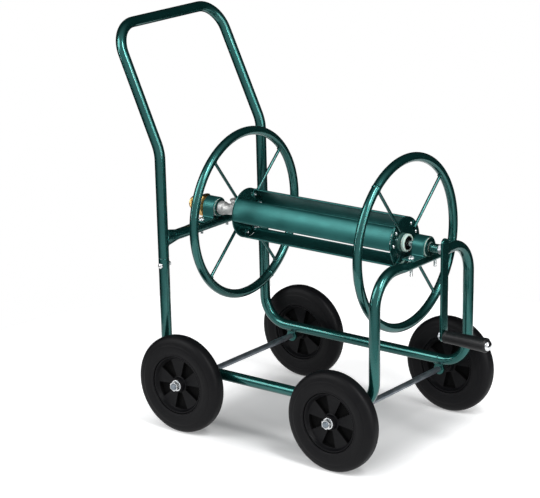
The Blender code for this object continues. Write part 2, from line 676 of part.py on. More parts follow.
def reel():
    """Everything that turns with the crank."""
    flange("inlet", RING_X[0], 1.0)
    flange("crank", RING_X[1], -1.0)
    start_x = RING_X[0] + DISC_INSET + DISC_T / 2 + GAP
    end_x = RING_X[1] - DISC_INSET - DISC_T / 2 - GAP
    for number, middle_deg in enumerate(PANEL_DEGREES, start=1):
        drum_panel(number, middle_deg, start_x, end_x)
    inlet_elbow()
    origin = (0.0, 0.0, REEL_Z)
    chamfer = 0.001
    shaft = turned([(SHAFT_X[0], SHAFT_R - chamfer / 2), (SHAFT_X[0] + chamfer, SHAFT_R),
                    (SHAFT_X[1] - chamfer, SHAFT_R), (SHAFT_X[1], SHAFT_R - chamfer / 2)], 0, origin)
    publish("reel_shaft", shaft, STEEL, origin=origin)
    disc_face = RING_X[1] - DISC_INSET + DISC_T / 2
    collar_x = disc_face + GAP
    collar = [(collar_x, SHAFT_BORE_R), (collar_x, 0.0180), (collar_x + 0.0060, 0.0180),
              (collar_x + 0.0075, 0.0160), (collar_x + 0.0075, 0.0120), (collar_x + 0.0035, 0.0115),
              (collar_x + 0.0035, SHAFT_BORE_R)]
    publish("reel_collar", turned(collar, 0, origin, sides=16, loop=True), MINT, origin=origin)


def crank():
    """Crank arm, its lock nut, and the grip on its bolt."""
    origin = (0.0, 0.0, REEL_Z)
    outline = arc(ARM_HALF, 0, 180, 8, (0.0, ARM_TOP_Z - ARM_HALF)) + arc(ARM_HALF, 180, 360, 8, (0.0, GRIP_Z))
    arm = publish("crank_arm", plate(outline, 0, *ARM_X), GREEN, origin=origin)
    socket = rod(SHAFT_BORE_R, ARM_X[0] - 0.01, ARM_X[0] + 0.0035, 0, origin)
    combine(arm, publish("arm_shaft_socket", socket, GREEN, origin=origin), "DIFFERENCE")
    grip_point = (0.0, 0.0, GRIP_Z)
    hole = rod(GRIP_BOLT_R + GAP, ARM_X[0] - 0.01, ARM_X[1] + 0.01, 0, grip_point)
    combine(arm, publish("arm_bolt_hole", hole, GREEN, origin=grip_point), "DIFFERENCE")
    nut_end = ARM_X[0] - GAP
    publish("crank_lock_nut", sleeve(SHAFT_BORE_R, 0.0105, nut_end - 0.008, nut_end, 0, origin, shape=("hex",)),
            CHROME, origin=origin)
    publish("grip_nut", sleeve(GRIP_BOLT_R + GAP, 0.0105, nut_end - 0.006, nut_end, 0, grip_point,
                               shape=("hex",)), CHROME, origin=grip_point)
    tip = OVERALL_LENGTH / 2
    seat = GRIP_END_X + GAP
    bolt = [(nut_end - 0.007, GRIP_BOLT_R - 0.0005), (nut_end - 0.006, GRIP_BOLT_R), (seat, GRIP_BOLT_R),
            (seat, 0.0105), (seat + 0.004, 0.0102), (seat + 0.0062, 0.0075), (tip, 0.0)]
    publish("grip_bolt", turned(bolt, 0, grip_point, sides=16), CHROME, origin=grip_point)
    start = ARM_X[1] + GAP
    grip = [(start, GRIP_BOLT_R + 2 * GAP), (start, 0.0125), (start + 0.005, 0.0128), (start + 0.007, 0.0118),
            (start + 0.060, 0.0136), (GRIP_END_X - 0.010, 0.0140), (GRIP_END_X - 0.002, 0.0146),
            (GRIP_END_X, 0.0135), (GRIP_END_X, GRIP_BOLT_R + 2 * GAP)]
    publish("crank_grip", turned(grip, 0, grip_point, sides=16, loop=True), BLACK, origin=grip_point)


SIDES = (("right", -1), ("left", 1))

push_handle()
for rail_name, rail_side in SIDES:
    side_rail("side_rail_" + rail_name, rail_side)
front_arch()
rear_crossbar()
handle_bolts()
for axle_end, axle_x in zip(("rear", "front"), WHEEL_X):
    axle_set(axle_end, axle_x)
wheels()
bearing("inlet", SADDLE_X[0], CROSSBAR_TOP_Z, CROSSBAR_BOLT_END)
bearing("crank", SADDLE_X[1], ARCH_TOP_Z, ARCH_BOLT_END)
bushes()
water_inlet()
reel()
crank()
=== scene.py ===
# %% [markdown]
# # A garden hose reel cart
#
# The cart is a frame of bent, enamelled steel tube on four solid wheels. Between its two ends a reel turns on
# a shaft, driven by a crank; a brass swivel at the other end lets the water in. This notebook dresses the
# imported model: every piece is worked out again as a smooth numpy surface in the place that the frame gives.

# %% Load the frame
import math

import bmesh
import bpy
import numpy as np
from mathutils import Matrix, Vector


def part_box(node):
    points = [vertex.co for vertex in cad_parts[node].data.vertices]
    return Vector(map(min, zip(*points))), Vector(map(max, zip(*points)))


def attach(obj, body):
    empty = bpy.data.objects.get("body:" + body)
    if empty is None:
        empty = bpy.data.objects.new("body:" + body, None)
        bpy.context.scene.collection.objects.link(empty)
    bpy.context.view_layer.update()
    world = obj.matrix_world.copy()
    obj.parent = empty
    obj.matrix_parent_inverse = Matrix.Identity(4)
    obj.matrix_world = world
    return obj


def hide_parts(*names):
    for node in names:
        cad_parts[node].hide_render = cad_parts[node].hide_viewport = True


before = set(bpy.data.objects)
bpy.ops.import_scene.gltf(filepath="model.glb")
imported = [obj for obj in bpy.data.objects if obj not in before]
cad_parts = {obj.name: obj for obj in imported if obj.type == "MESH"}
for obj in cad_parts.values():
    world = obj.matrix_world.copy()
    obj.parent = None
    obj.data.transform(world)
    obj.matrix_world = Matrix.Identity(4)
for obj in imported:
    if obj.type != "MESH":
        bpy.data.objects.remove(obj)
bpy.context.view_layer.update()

# %% [markdown]
# ## From two parameters to a mesh
#
# Every piece below is a grid of points: one parameter counts the stations along the piece, the other goes
# round each station. Neighbouring points make quads, and points that fall on each other (seams, poles) are
# merged, which closes the surface. It could be modelled by hand with extrusions, but a formula says what the
# shape is, and a finer grid is only another number.

# %% Grids and pieces
MERGE = 2e-6


def quads(rows, columns, close_rows, close_columns):
    """Corner numbers of the faces between station i and i + 1, point j and j + 1; closing wraps round."""
    i, j = np.meshgrid(np.arange(rows - (not close_rows)), np.arange(columns - (not close_columns)), indexing="ij")
    after_i, after_j = (i + 1) % rows, (j + 1) % columns
    corners = [i * columns + j, i * columns + after_j, after_i * columns + after_j, after_i * columns + j]
    return np.stack(corners, axis=-1).reshape(-1, 4)


def piece(name, grids, finish, body, stands_for=(), sharp=38.0, second=None):
    """One object from grids of shape (rows, columns, 3), each with its (close_rows, close_columns) flags.

    `second` is another finish and the mask of the faces that take it."""
    points, faces, start = [], [], 0
    for grid, close_rows, close_columns in grids:
        rows, columns = grid.shape[:2]
        points.append(grid.reshape(-1, 3))
        faces.append(quads(rows, columns, close_rows, close_columns) + start)
        start += rows * columns
    mesh = bpy.data.meshes.new(name)
    mesh.from_pydata(np.concatenate(points), [], np.concatenate(faces).tolist())
    mesh.materials.append(finish)
    if second:
        mesh.materials.append(second[0])
        mesh.polygons.foreach_set("material_index", second[1].astype(np.int32))
    work = bmesh.new()
    work.from_mesh(mesh)
    bmesh.ops.remove_doubles(work, verts=work.verts, dist=MERGE)
    bmesh.ops.dissolve_degenerate(work, edges=work.edges, dist=MERGE / 2)
    bmesh.ops.recalc_face_normals(work, faces=work.faces)
    work.to_mesh(mesh)
    work.free()
    mesh.shade_smooth()
    mesh.set_sharp_from_angle(angle=math.radians(sharp))
    made = bpy.data.objects.new(name, mesh)
    bpy.context.scene.collection.objects.link(made)
    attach(made, body)
    if stands_for:
        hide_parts(*stands_for)
    return made


def report(title, *made):
    """Print how many triangles the new pieces hold."""
    count = sum(len(p.vertices) - 2 for m in made for p in m.data.polygons)
    print(f"{title}: {len(made)} pieces, {count} triangles")


# %% [markdown]
# ## Turned shapes
#
# Nuts, bolts, wheels and bushes are turned on an axis: a profile of (along, radius) pairs goes round in a
# circle. Real edges are never knife sharp, so each corner of a profile is first eased with a short parabola
# that catches the light. A hexagon, a thread or a knurl is the same surface with a radius that also depends
# on the angle.

# %% Profiles and turned surfaces
AXES = np.eye(3)


def eased(profile, reach, steps=4, closed=True):
    """Round the corners: near corner P the line follows (1-t)^2 A + 2t(1-t) P + t^2 C, from A to C at `reach`."""
    p = np.asarray(profile, float)
    before, after = np.roll(p, 1, axis=0) - p, np.roll(p, -1, axis=0) - p
    span = np.minimum(np.linalg.norm(before, axis=1), np.linalg.norm(after, axis=1))
    cut = np.minimum(np.broadcast_to(np.asarray(reach, float), span.shape), 0.46 * span)
    if not closed:
        cut = cut * (np.arange(len(p)) > 0) * (np.arange(len(p)) < len(p) - 1)
    unit = 1.0 / np.maximum(np.linalg.norm(np.stack([before, after]), axis=2), 1e-9)
    a = p + before * (unit[0] * cut)[:, None]
    c = p + after * (unit[1] * cut)[:, None]
    t = np.linspace(0.0, 1.0, steps + 1)[None, :, None]
    line = ((1 - t) ** 2 * a[:, None] + 2 * t * (1 - t) * p[:, None] + t ** 2 * c[:, None]).reshape(-1, p.shape[1])
    fresh = np.r_[True, np.linalg.norm(np.diff(line, axis=0), axis=1) > 1e-7]
    return line[fresh]


def turned(profile, axis, centre, sides=48, closed=True, shape=None, phase=0.0):
    """point(s, a) = centre + axis * along(s) + r(s, a) * (e1 cos a + e2 sin a); closed profiles have a bore."""
    along, radius = np.asarray(profile, float).T
    angle = phase + np.arange(sides) * 2 * math.pi / sides
    reach = radius[:, None] * np.ones_like(angle)
    if shape is not None:
        reach = shape(along[:, None], radius[:, None], angle)
    e1, e2 = np.roll(AXES, -axis - 1, axis=0)[:2]
    ring = np.cos(angle)[None, :, None] * e1 + np.sin(angle)[None, :, None] * e2
    grid = np.asarray(centre, float) + along[:, None, None] * AXES[axis] + reach[..., None] * ring
    return grid, closed, True


def hexagon(radius, low, high, chamfer=0.9):
    """Radius of a hex head: the flat-sided prism cut by a cone at each end, whichever is nearer the axis."""
    def shape(along, ring, angle):
        flat = radius * math.cos(math.pi / 6) / np.cos((angle % (math.pi / 3)) - math.pi / 6)
        cone = radius * chamfer + 1.9 * np.minimum(along - low, high - along)
        return np.where(ring > 0.75 * radius, np.minimum(flat, cone), ring)
    return shape


BAR_PITCH = 0.00125
PIPE_PITCH = 0.0018


def thread_wave(along, angle, pitch):
    """A triangle wave from 0 to 1 of (along / pitch - angle / turn), which climbs one pitch a turn."""
    return np.abs(2 * ((along / pitch - angle / (2 * math.pi)) % 1.0) - 1)


def helix(pitch, depth, low, high):
    """Radius of a screw thread: the plain radius less `depth` times the thread wave, run out at both ends."""
    def shape(along, ring, angle):
        wave = thread_wave(along, angle, pitch)
        run = np.clip(np.minimum(along - low, high - along) / pitch, 0, 1)
        return ring - depth * wave * run * (ring > 2 * depth)
    return shape


def span_of(low, high, step):
    """Stations from low to high, about `step` apart."""
    return np.linspace(low, high, max(2, int(round(abs(high - low) / step)) + 1))


# %% [markdown]
# ## Carried shapes
#
# A bent tube is a ring carried along a path. The path is drawn as a bender would make it, straight runs
# joined by arcs; the ring stands square to it. The ring needs a steady idea of "sideways": a reference
# direction is given along the path and made square to the tangent at every station.

# %% Paths and carried sections
def bent(corners, radii, steps=14):
    """Straight runs joined by arcs: each corner is replaced by an arc of its radius, tangent to both runs."""
    c = np.asarray(corners, float)
    points = [c[:1]]
    for before, here, after, radius in zip(c, c[1:], c[2:], radii):
        into = (here - before) / np.linalg.norm(here - before)
        out = (after - here) / np.linalg.norm(after - here)
        turn = math.acos(float(np.clip(into @ out, -1, 1)))
        side = (out - into * (into @ out)) / math.sin(turn)
        start = here - into * radius * math.tan(turn / 2)
        a = np.linspace(0, turn, steps + 1)[:, None]
        points.append(start + side * radius * (1 - np.cos(a)) + into * radius * np.sin(a))
    points.append(c[-1:])
    return np.concatenate(points)


def stationed(path, step):
    """The same line with stations added so that none are further apart than `step`."""
    gaps = np.linalg.norm(np.diff(path, axis=0), axis=1)
    s = np.r_[0.0, np.cumsum(gaps)]
    counts = np.maximum(1, np.ceil(gaps / step)).astype(int)
    at = np.concatenate([np.linspace(s[k], s[k + 1], n, endpoint=False) for k, n in enumerate(counts)] + [s[-1:]])
    return np.stack([np.interp(at, s, path[:, k]) for k in range(3)], axis=1)


def untwisted(tangent, reference):
    """Carry a direction from station to station by the smallest turn that brings each tangent to the next."""
    normals = [reference - tangent[0] * (reference @ tangent[0])]
    for before, after in zip(tangent, tangent[1:]):
        middle = before + after
        n = normals[-1] - middle * (2 * (normals[-1] @ after) / (middle @ middle))
        normals.append(n - after * (n @ after))
    return np.array(normals)


def directions(path, reference, closed=False):
    """Tangent t, normal n and binormal b at each station: n is the reference made square to t, b = t x n."""
    if closed:
        tangent = np.roll(path, -1, axis=0) - np.roll(path, 1, axis=0)
    else:
        ends = np.concatenate([2 * path[:1] - path[1:2], path, 2 * path[-1:] - path[-2:-1]])
        ahead, behind = ends[2:] - ends[1:-1], ends[1:-1] - ends[:-2]
        tangent = ahead / np.linalg.norm(ahead, axis=1, keepdims=True)
        tangent = tangent + behind / np.linalg.norm(behind, axis=1, keepdims=True)
    tangent = tangent / np.linalg.norm(tangent, axis=1, keepdims=True)
    ref = np.asarray(reference, float)
    if ref.ndim == 1 and not closed:
        ref = untwisted(tangent, ref)
    ref = np.broadcast_to(ref, path.shape)
    normal = ref - tangent * np.sum(ref * tangent, axis=1, keepdims=True)
    normal = normal / np.linalg.norm(normal, axis=1, keepdims=True)
    return tangent, normal, np.cross(tangent, normal)


def carried(path, reference, half_n, half_b, sides=32, closed=False, power=2.0):
    """point(s, a) = path(s) + n hn(s) c(a) + b hb(s) d(a), where (c, d) runs round an ellipse or softened box."""
    _, normal, binormal = directions(path, reference, closed)
    angle = np.arange(sides) * 2 * math.pi / sides
    power = np.broadcast_to(np.asarray(power, float), len(path))[:, None]
    c = np.sign(np.cos(angle)) * np.abs(np.cos(angle)) ** (2 / power)
    d = np.sign(np.sin(angle)) * np.abs(np.sin(angle)) ** (2 / power)
    hn = np.broadcast_to(np.asarray(half_n, float), len(path))[:, None]
    hb = np.broadcast_to(np.asarray(half_b, float), len(path))[:, None]
    return path[:, None] + normal[:, None] * (hn * c)[..., None] + binormal[:, None] * (hb * d)[..., None]


def walled(path, reference, outer, bore, sides=32, **options):
    """A tube with a wall: the outside forward, then the bore backward, closed into one skin."""
    outside = carried(path, reference, *outer, sides=sides, **options)
    inside = carried(path, reference, *bore, sides=sides, **options)[::-1]
    return np.concatenate([outside, inside]), True, True


def sheet(middle, normal, thickness, edge):
    """Both faces of a plate: middle +- n h, where h falls to nothing along a quarter circle at the rim."""
    rows, columns = middle.shape[:2]
    u = np.linalg.norm(np.diff(middle[:, columns // 2], axis=0), axis=1)
    v = np.linalg.norm(np.diff(middle[rows // 2], axis=0), axis=1)
    u, v = np.r_[0.0, np.cumsum(u)], np.r_[0.0, np.cumsum(v)]
    from_rim = np.minimum(np.minimum(u, u[-1] - u)[:, None], np.minimum(v, v[-1] - v)[None])
    h = thickness / 2 * np.sqrt(np.clip(1 - (1 - np.clip(from_rim / edge, 0, 1)) ** 2, 0, 1))
    return [(middle + normal * h[..., None], False, False), (middle - normal * h[..., None], False, False)]


def rimmed(low, high, edge, step):
    """Stations across a sheet, crowded near both rims so that the rounded edge is really round."""
    near = edge * np.array([0.0, 0.08, 0.3, 0.62, 1.0])
    return np.r_[low + near, span_of(low + edge, high - edge, step)[1:-1], (high - near)[::-1]]


print("a quarter bend has", len(bent([(0, 0, 0), (1, 0, 0), (1, 1, 0)], (0.1,))), "stations")

# %% [markdown]
# ## Finishes
#
# The tubes carry a metallic green stoving enamel: its flakes tint the highlights, and a thin clear film adds
# a sharp gloss. Enamel is never perfectly flat, it dries with a faint orange peel. Rubber, moulded plastic,
# zinc plate, cast zinc and brass each get their own grain. All the patterns are read in object coordinates,
# in metres, so they stay on the metal when a wheel or the reel turns.

# %% Shader helpers
def node(tree, kind, inputs=None, **settings):
    """Add a shader node; an input may be a number, a colour or the socket that feeds it."""
    made = tree.nodes.new("ShaderNode" + kind)
    for key, value in settings.items():
        setattr(made, key, value)
    for key, value in (inputs or {}).items():
        if isinstance(value, bpy.types.NodeSocket):
            tree.links.new(value, made.inputs[key])
        else:
            made.inputs[key].default_value = value
    return made


def new_finish(name, **sockets):
    """A material with a Principled shader whose constant sockets are set here, and its object coordinates."""
    made = bpy.data.materials.new(name)
    made.use_nodes = True
    tree = made.node_tree
    shader = tree.nodes["Principled BSDF"]
    for key, value in sockets.items():
        shader.inputs[key.replace("_", " ")].default_value = value
    return made, tree, shader, node(tree, "TexCoord").outputs["Object"]


def speckle(tree, where, scale, detail=3.0, roughness=0.5):
    """Fractal noise from 0 to 1 with `scale` cells to the metre."""
    numbers = {"Scale": scale, "Detail": detail, "Roughness": roughness}
    return node(tree, "TexNoise", {"Vector": where, **numbers}).outputs[0]


def between(tree, fac, low, high, start=0.3, end=0.7):
    """Map a noise value onto the range from low to high."""
    return node(tree, "MapRange", {"Value": fac, "From Min": start, "From Max": end, "To Min": low,
                                   "To Max": high}).outputs["Result"]


def blended(tree, fac, first, second):
    """Mix two colours, or the sockets that carry them."""
    mix = node(tree, "Mix", {0: fac}, data_type="RGBA")
    for slot_number, value in ((6, first), (7, second)):
        if isinstance(value, bpy.types.NodeSocket):
            tree.links.new(value, mix.inputs[slot_number])
        else:
            mix.inputs[slot_number].default_value = (*value, 1.0)
    return mix.outputs[2]


def bumped(tree, shader, height, distance, strength=1.0):
    """Raise the shader's surface by a height map, in metres."""
    bump = node(tree, "Bump", {"Height": height, "Distance": distance, "Strength": strength})
    tree.links.new(bump.outputs["Normal"], shader.inputs["Normal"])


def plain_finish(name, dark, light, rough, grain, bump, **sockets):
    """A finish whose colour, gloss and surface all drift with one fine and one coarse noise."""
    made, tree, shader, where = new_finish(name, **sockets)
    coarse = speckle(tree, where, grain * 0.12, 2.0)
    fine = speckle(tree, where, grain, 5.0, 0.6)
    tree.links.new(blended(tree, between(tree, coarse, 0.0, 1.0), dark, light), shader.inputs["Base Color"])
    tree.links.new(between(tree, fine, rough[0], rough[1]), shader.inputs["Roughness"])
    bumped(tree, shader, fine, bump)
    return made


# %% [markdown]
# ### Green enamel
#
# A coarse noise lets the green run a little darker and bluer from place to place, as the film thickness does.
# Two noises make the orange peel: one of about 2 mm, one of about 8 mm. A few tiny dust nibs sit in the film.

# %% Enamel
def enamel(name, dark, light, rough, metallic=0.88, coat=(0.60, 0.04)):
    """Metallic enamel: tinted flake under a clear coat, with orange peel and a drifting film thickness."""
    made, tree, shader, where = new_finish(name, Metallic=metallic, Coat_Weight=coat[0], Coat_Roughness=coat[1],
                                           Coat_IOR=1.5)
    film = speckle(tree, where, 14.0, 3.0)
    flake = speckle(tree, where, 1900.0, 1.0)
    tone = blended(tree, between(tree, film, 0.0, 1.0), dark, light)
    tone = blended(tree, between(tree, flake, 0.0, 0.10, 0.40, 0.75), tone, tuple(1.5 * v for v in light))
    tree.links.new(tone, shader.inputs["Base Color"])
    tree.links.new(between(tree, speckle(tree, where, 45.0, 3.0), *rough), shader.inputs["Roughness"])
    peel = speckle(tree, where, 420.0, 2.0)
    wave = speckle(tree, where, 110.0, 1.0)
    nib = node(tree, "TexVoronoi", {"Vector": where, "Scale": 160.0}, feature="F1")
    dot = between(tree, nib.outputs["Distance"], 1.0, 0.0, 0.03, 0.10)
    height = node(tree, "Math", {0: peel, 1: wave}, operation="ADD").outputs[0]
    height = node(tree, "Math", {0: dot, 1: 0.2, 2: height}, operation="MULTIPLY_ADD").outputs[0]
    bumped(tree, shader, height, 0.00004, 0.12)
    return made


GREEN = enamel("green_enamel_gloss", (0.0095, 0.092, 0.084), (0.0140, 0.118, 0.107), (0.17, 0.24))
GREEN_DARK = enamel("green_enamel_pressings", (0.0080, 0.078, 0.072), (0.0120, 0.100, 0.092), (0.20, 0.28), 0.88,
                    (0.5, 0.06))
GREEN_SATIN = enamel("green_enamel_drum", (0.0150, 0.108, 0.102), (0.0210, 0.135, 0.127), (0.38, 0.46), 0.80,
                     (0.15, 0.30))
print("enamels", GREEN.name, GREEN_DARK.name, GREEN_SATIN.name)

# %% [markdown]
# ### Rubber, plastics and metals
#
# The tyres are matt black with a slight bloom; the wheel centres are a satin polypropylene with the fine
# grain of its mould. Zinc-plated fasteners are bright. The elbow is a rough casting under
# a galvanised skin, with grey patches the size of a fingernail.

# %% Rubber and plastic
def tyre_rubber():
    """Black rubber: a browner bloom in patches and moulding grain."""
    made, tree, shader, where = new_finish("tyre_rubber_black", Specular_IOR_Level=0.14)
    bloom = speckle(tree, where, 22.0, 4.0, 0.6)
    fine = speckle(tree, where, 900.0, 4.0, 0.65)
    tone = blended(tree, between(tree, bloom, 0.0, 1.0), (0.0026, 0.0026, 0.0034), (0.0046, 0.0045, 0.0052))
    tree.links.new(tone, shader.inputs["Base Color"])
    tree.links.new(between(tree, bloom, 0.42, 0.54), shader.inputs["Roughness"])
    bumped(tree, shader, fine, 0.00006, 0.5)
    return made


RUBBER = tyre_rubber()
RIM_BLACK = plain_finish("wheel_plastic_black", (0.0020, 0.0020, 0.0027), (0.0036, 0.0036, 0.0045), (0.36, 0.50),
                         650.0, 0.00004, Specular_IOR_Level=0.14)
# Painted shade: a near-black, matt finish, darker than the plastic itself, laid on the wheel pockets, the bush bores
# and the collar's recess so that these hollows read as dark as the shade inside them.
PAINTED_SHADE_BLACK = plain_finish("painted_shade_black", (0.0008, 0.0008, 0.0009), (0.0016, 0.0016, 0.0018), (0.70, 0.85),
                            650.0, 0.00004, Specular_IOR_Level=0.10)
GRIP_BLACK = plain_finish("grip_plastic_black", (0.0045, 0.0045, 0.0050), (0.0080, 0.0080, 0.0088), (0.36, 0.48),
                          700.0, 0.00005, Specular_IOR_Level=0.36)
MINT = plain_finish("pale_green_plastic", (0.52, 0.68, 0.61), (0.66, 0.80, 0.73), (0.30, 0.42), 500.0, 0.00004,
                    Subsurface_Weight=0.08, Subsurface_Scale=0.004)

# %% Metals
ZINC = plain_finish("bright_zinc", (0.62, 0.64, 0.66), (0.80, 0.81, 0.81), (0.16, 0.34), 700.0, 0.00003,
                    Metallic=1.0)
STEEL = plain_finish("drawn_steel", (0.17, 0.20, 0.23), (0.28, 0.31, 0.34), (0.28, 0.44), 420.0, 0.00004,
                     Metallic=0.9)
BRASS = plain_finish("warm_brass", (0.50, 0.30, 0.10), (0.70, 0.46, 0.18), (0.22, 0.36), 500.0, 0.00003,
                     Metallic=1.0)
CHROME = plain_finish("polished_chrome", (0.78, 0.79, 0.81), (0.86, 0.87, 0.88), (0.05, 0.12), 300.0, 0.00001,
                      Metallic=1.0)
DULL_ZINC = plain_finish("dull_zinc", (0.26, 0.27, 0.29), (0.40, 0.41, 0.43), (0.28, 0.44), 600.0, 0.00003,
                         Metallic=1.0)


def galvanised():
    """Cast zinc alloy with a galvanised skin: crystal patches of several greys over a sandy surface."""
    made, tree, shader, where = new_finish("galvanised_casting", Metallic=0.75)
    spangle = node(tree, "TexVoronoi", {"Vector": where, "Scale": 210.0, "Randomness": 1.0}, feature="F1")
    patch = node(tree, "SeparateColor", {"Color": spangle.outputs["Color"]}).outputs[0]
    sand = speckle(tree, where, 900.0, 5.0, 0.7)
    tone = blended(tree, patch, (0.44, 0.44, 0.435), (0.80, 0.80, 0.78))
    tone = blended(tree, between(tree, sand, 0.0, 0.5), tone, (0.32, 0.32, 0.315))
    tree.links.new(tone, shader.inputs["Base Color"])
    tree.links.new(between(tree, sand, 0.42, 0.62), shader.inputs["Roughness"])
    bumped(tree, shader, sand, 0.00035, 0.9)
    return made


CAST = galvanised()
print("metals", [m.name for m in (ZINC, STEEL, BRASS, CHROME, DULL_ZINC, CAST)])

# %% [markdown]
# ## The push handle
#
# One tube, bent five ways: two straight legs that lean slightly, a lean outwards, two corners and the bar for
# the hands. It could be a curve with a bevel, but then the stepped spigots at its feet would be separate
# pieces. Here the radius is one more value along the path.

# %% Where the frame tubes run
TUBE_R = 0.011
SPIGOT_R = 0.0090
SOCKET_R = 0.0094
BORE_R = 0.0072
GAP = 0.0003
SIDES = (("right", -1), ("left", 1))

handle_low, handle_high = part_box("push_handle")
rail_low, rail_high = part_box("side_rail_left")
arch_low, arch_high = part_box("front_arch")
FRAME_Y = float(rail_low.y + rail_high.y) / 2
RAIL_Z = float(rail_low.z) + TUBE_R
JOINT_Z = float(rail_high.z)
LEAN = 0.0205
REAR_X = -0.2715
ARCH_X = 0.246
ARCH_TOP = float(arch_high.z)
print("side tubes at y", round(FRAME_Y, 4), "rails at z", round(RAIL_Z, 4), "joint at z", round(JOINT_Z, 4))


def upright_x(z):
    """The rear uprights and the handle legs share one leaning line."""
    return REAR_X - LEAN * (z - JOINT_Z)


def with_stations(path, axis, values):
    """Add stations where the path's straight runs cross the given values of one coordinate."""
    gaps = np.linalg.norm(np.diff(path, axis=0), axis=1)
    s = np.r_[0.0, np.cumsum(gaps)]
    extra = []
    for value in values:
        here = path[:, axis] - value
        k = np.nonzero(here[:-1] * here[1:] < 0)[0]
        extra.append(s[k] + (s[k + 1] - s[k]) * here[k] / (here[k] - here[k + 1]))
    at = np.unique(np.round(np.concatenate([s, *extra]), 7))
    return np.stack([np.interp(at, s, path[:, k]) for k in range(3)], axis=1)


# %% Push handle
def push_handle():
    """A ring carried round the U: the radius steps down to the spigot below the joint."""
    bend_z, top_y = 0.564, 0.1655
    top_x, top_z = float(handle_low.x) + TUBE_R, float(handle_high.z) - TUBE_R
    foot_z = float(handle_low.z)
    leg = [(upright_x(foot_z), FRAME_Y, foot_z), (upright_x(bend_z), FRAME_Y, bend_z), (top_x, top_y, top_z)]
    corners = [(x, -y, z) for x, y, z in leg] + leg[::-1]
    path = bent(corners, (0.080, 0.060, 0.060, 0.080))
    shoulder = JOINT_Z + GAP
    path = with_stations(stationed(path, 0.02), 2, shoulder + np.linspace(-0.0006, 0.0018, 7))
    rise = path[:, 2]
    radius = np.where(rise > shoulder, TUBE_R - 0.0006 * np.clip(1 - (rise - shoulder) / 0.0010, 0, 1) ** 2,
                      SPIGOT_R)
    bore = np.full(len(path), BORE_R)
    return piece("push_handle_tube", [walled(path, AXES[1], (radius, radius), (bore, bore))], GREEN,
                 "cart_frame", ["push_handle"])


report("push handle", push_handle())

# %% [markdown]
# ## Bottom rails and the front arch
#
# Each rail starts as a rear upright, turns a quarter circle at the foot and runs forward to the arch. The
# arch is pressed flat across its top, where the crank's bearing sits: the round section becomes a softened
# box there, by letting the two half widths and the roundness change along the path.

# %% Rails
def rail_tube(name, side):
    """Upright, foot bend and rail; the open ends are rolled in a little."""
    y = side * FRAME_Y
    joint_x = float(rail_high.x)
    corners = [(REAR_X, y, JOINT_Z), (upright_x(RAIL_Z), y, RAIL_Z), (joint_x, y, RAIL_Z)]
    path = stationed(bent(corners, (0.058,), steps=22), 0.02)
    s = np.r_[0.0, np.cumsum(np.linalg.norm(np.diff(path, axis=0), axis=1))]
    extra = np.r_[np.linspace(0, 0.002, 6), s[-1] - np.linspace(0, 0.002, 6)]
    at = np.unique(np.round(np.r_[s, extra], 7))
    path = np.stack([np.interp(at, s, path[:, k]) for k in range(3)], axis=1)
    from_end = np.minimum(at, s[-1] - at)
    radius = TUBE_R - 0.0008 * np.clip(1 - from_end / 0.0010, 0, 1) ** 2
    bore = np.full(len(path), SOCKET_R)
    return piece(name + "_tube", [walled(path, AXES[1], (radius, radius), (bore, bore))], GREEN, "cart_frame",
                 [name])


report("rails", *[rail_tube("side_rail_" + name, side) for name, side in SIDES])


# %% Front arch
def front_arch():
    """Round tube at the feet and legs, a flattened box across the top, spigots inside the rails."""
    half_high, half_wide, flat_to, taper = 0.009, 0.0125, 0.066, 0.022
    top_z = ARCH_TOP - half_high
    start_x, shoulder = float(arch_low.x), float(rail_high.x) + GAP
    leg = [(start_x, RAIL_Z), (ARCH_X, RAIL_Z), (ARCH_X, top_z)]
    corners = [(x, -FRAME_Y, z) for x, z in leg] + [(x, FRAME_Y, z) for x, z in leg[::-1]]
    path = stationed(bent(corners, (0.058, 0.065, 0.065, 0.058), steps=22), 0.02)
    path = with_stations(path, 0, shoulder + np.linspace(-0.0006, 0.0018, 7))
    path = with_stations(path, 1, np.r_[np.linspace(-0.09, -0.06, 9), np.linspace(0.06, 0.09, 9)])
    on_leg = path[:, 2] < RAIL_Z + 0.001
    radius = np.where(on_leg & (path[:, 0] < shoulder), SPIGOT_R,
                      TUBE_R - 0.0006 * np.clip(1 - np.abs(path[:, 0] - shoulder) / 0.0010, 0, 1) ** 2 * on_leg)
    q = np.clip((flat_to + taper - np.abs(path[:, 1])) / taper, 0, 1) * (path[:, 2] > 0.3)
    q = q * q * (3 - 2 * q)
    wide = radius + (half_wide - TUBE_R) * q
    high = radius + (half_high - TUBE_R) * q
    bore = BORE_R - 0.001 * q
    grids = [walled(path, AXES[1], (high, wide), (bore, bore), sides=40, power=2.0 + 2.6 * q)]
    return piece("front_arch_tube", grids, GREEN, "cart_frame", ["front_arch"])


report("front arch", front_arch())

# %% [markdown]
# ## The crossbar and its welds
#
# The crossbar carries the inlet's bearing. Its ends are pinched tall and coped round the legs, and a weld runs
# round each. The weld bead is a small circle carried round the seam, with ripples like the stops of a torch.

# %% Crossbar
CROSSBAR_X = float(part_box("inlet_bearing_strap")[0].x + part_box("inlet_bearing_strap")[1].x) / 2
CROSSBAR_TOP = float(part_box("inlet_bearing_strap")[0].z) - GAP
CROSSBAR_HALF = 0.0095
CROSSBAR_Z = CROSSBAR_TOP - CROSSBAR_HALF


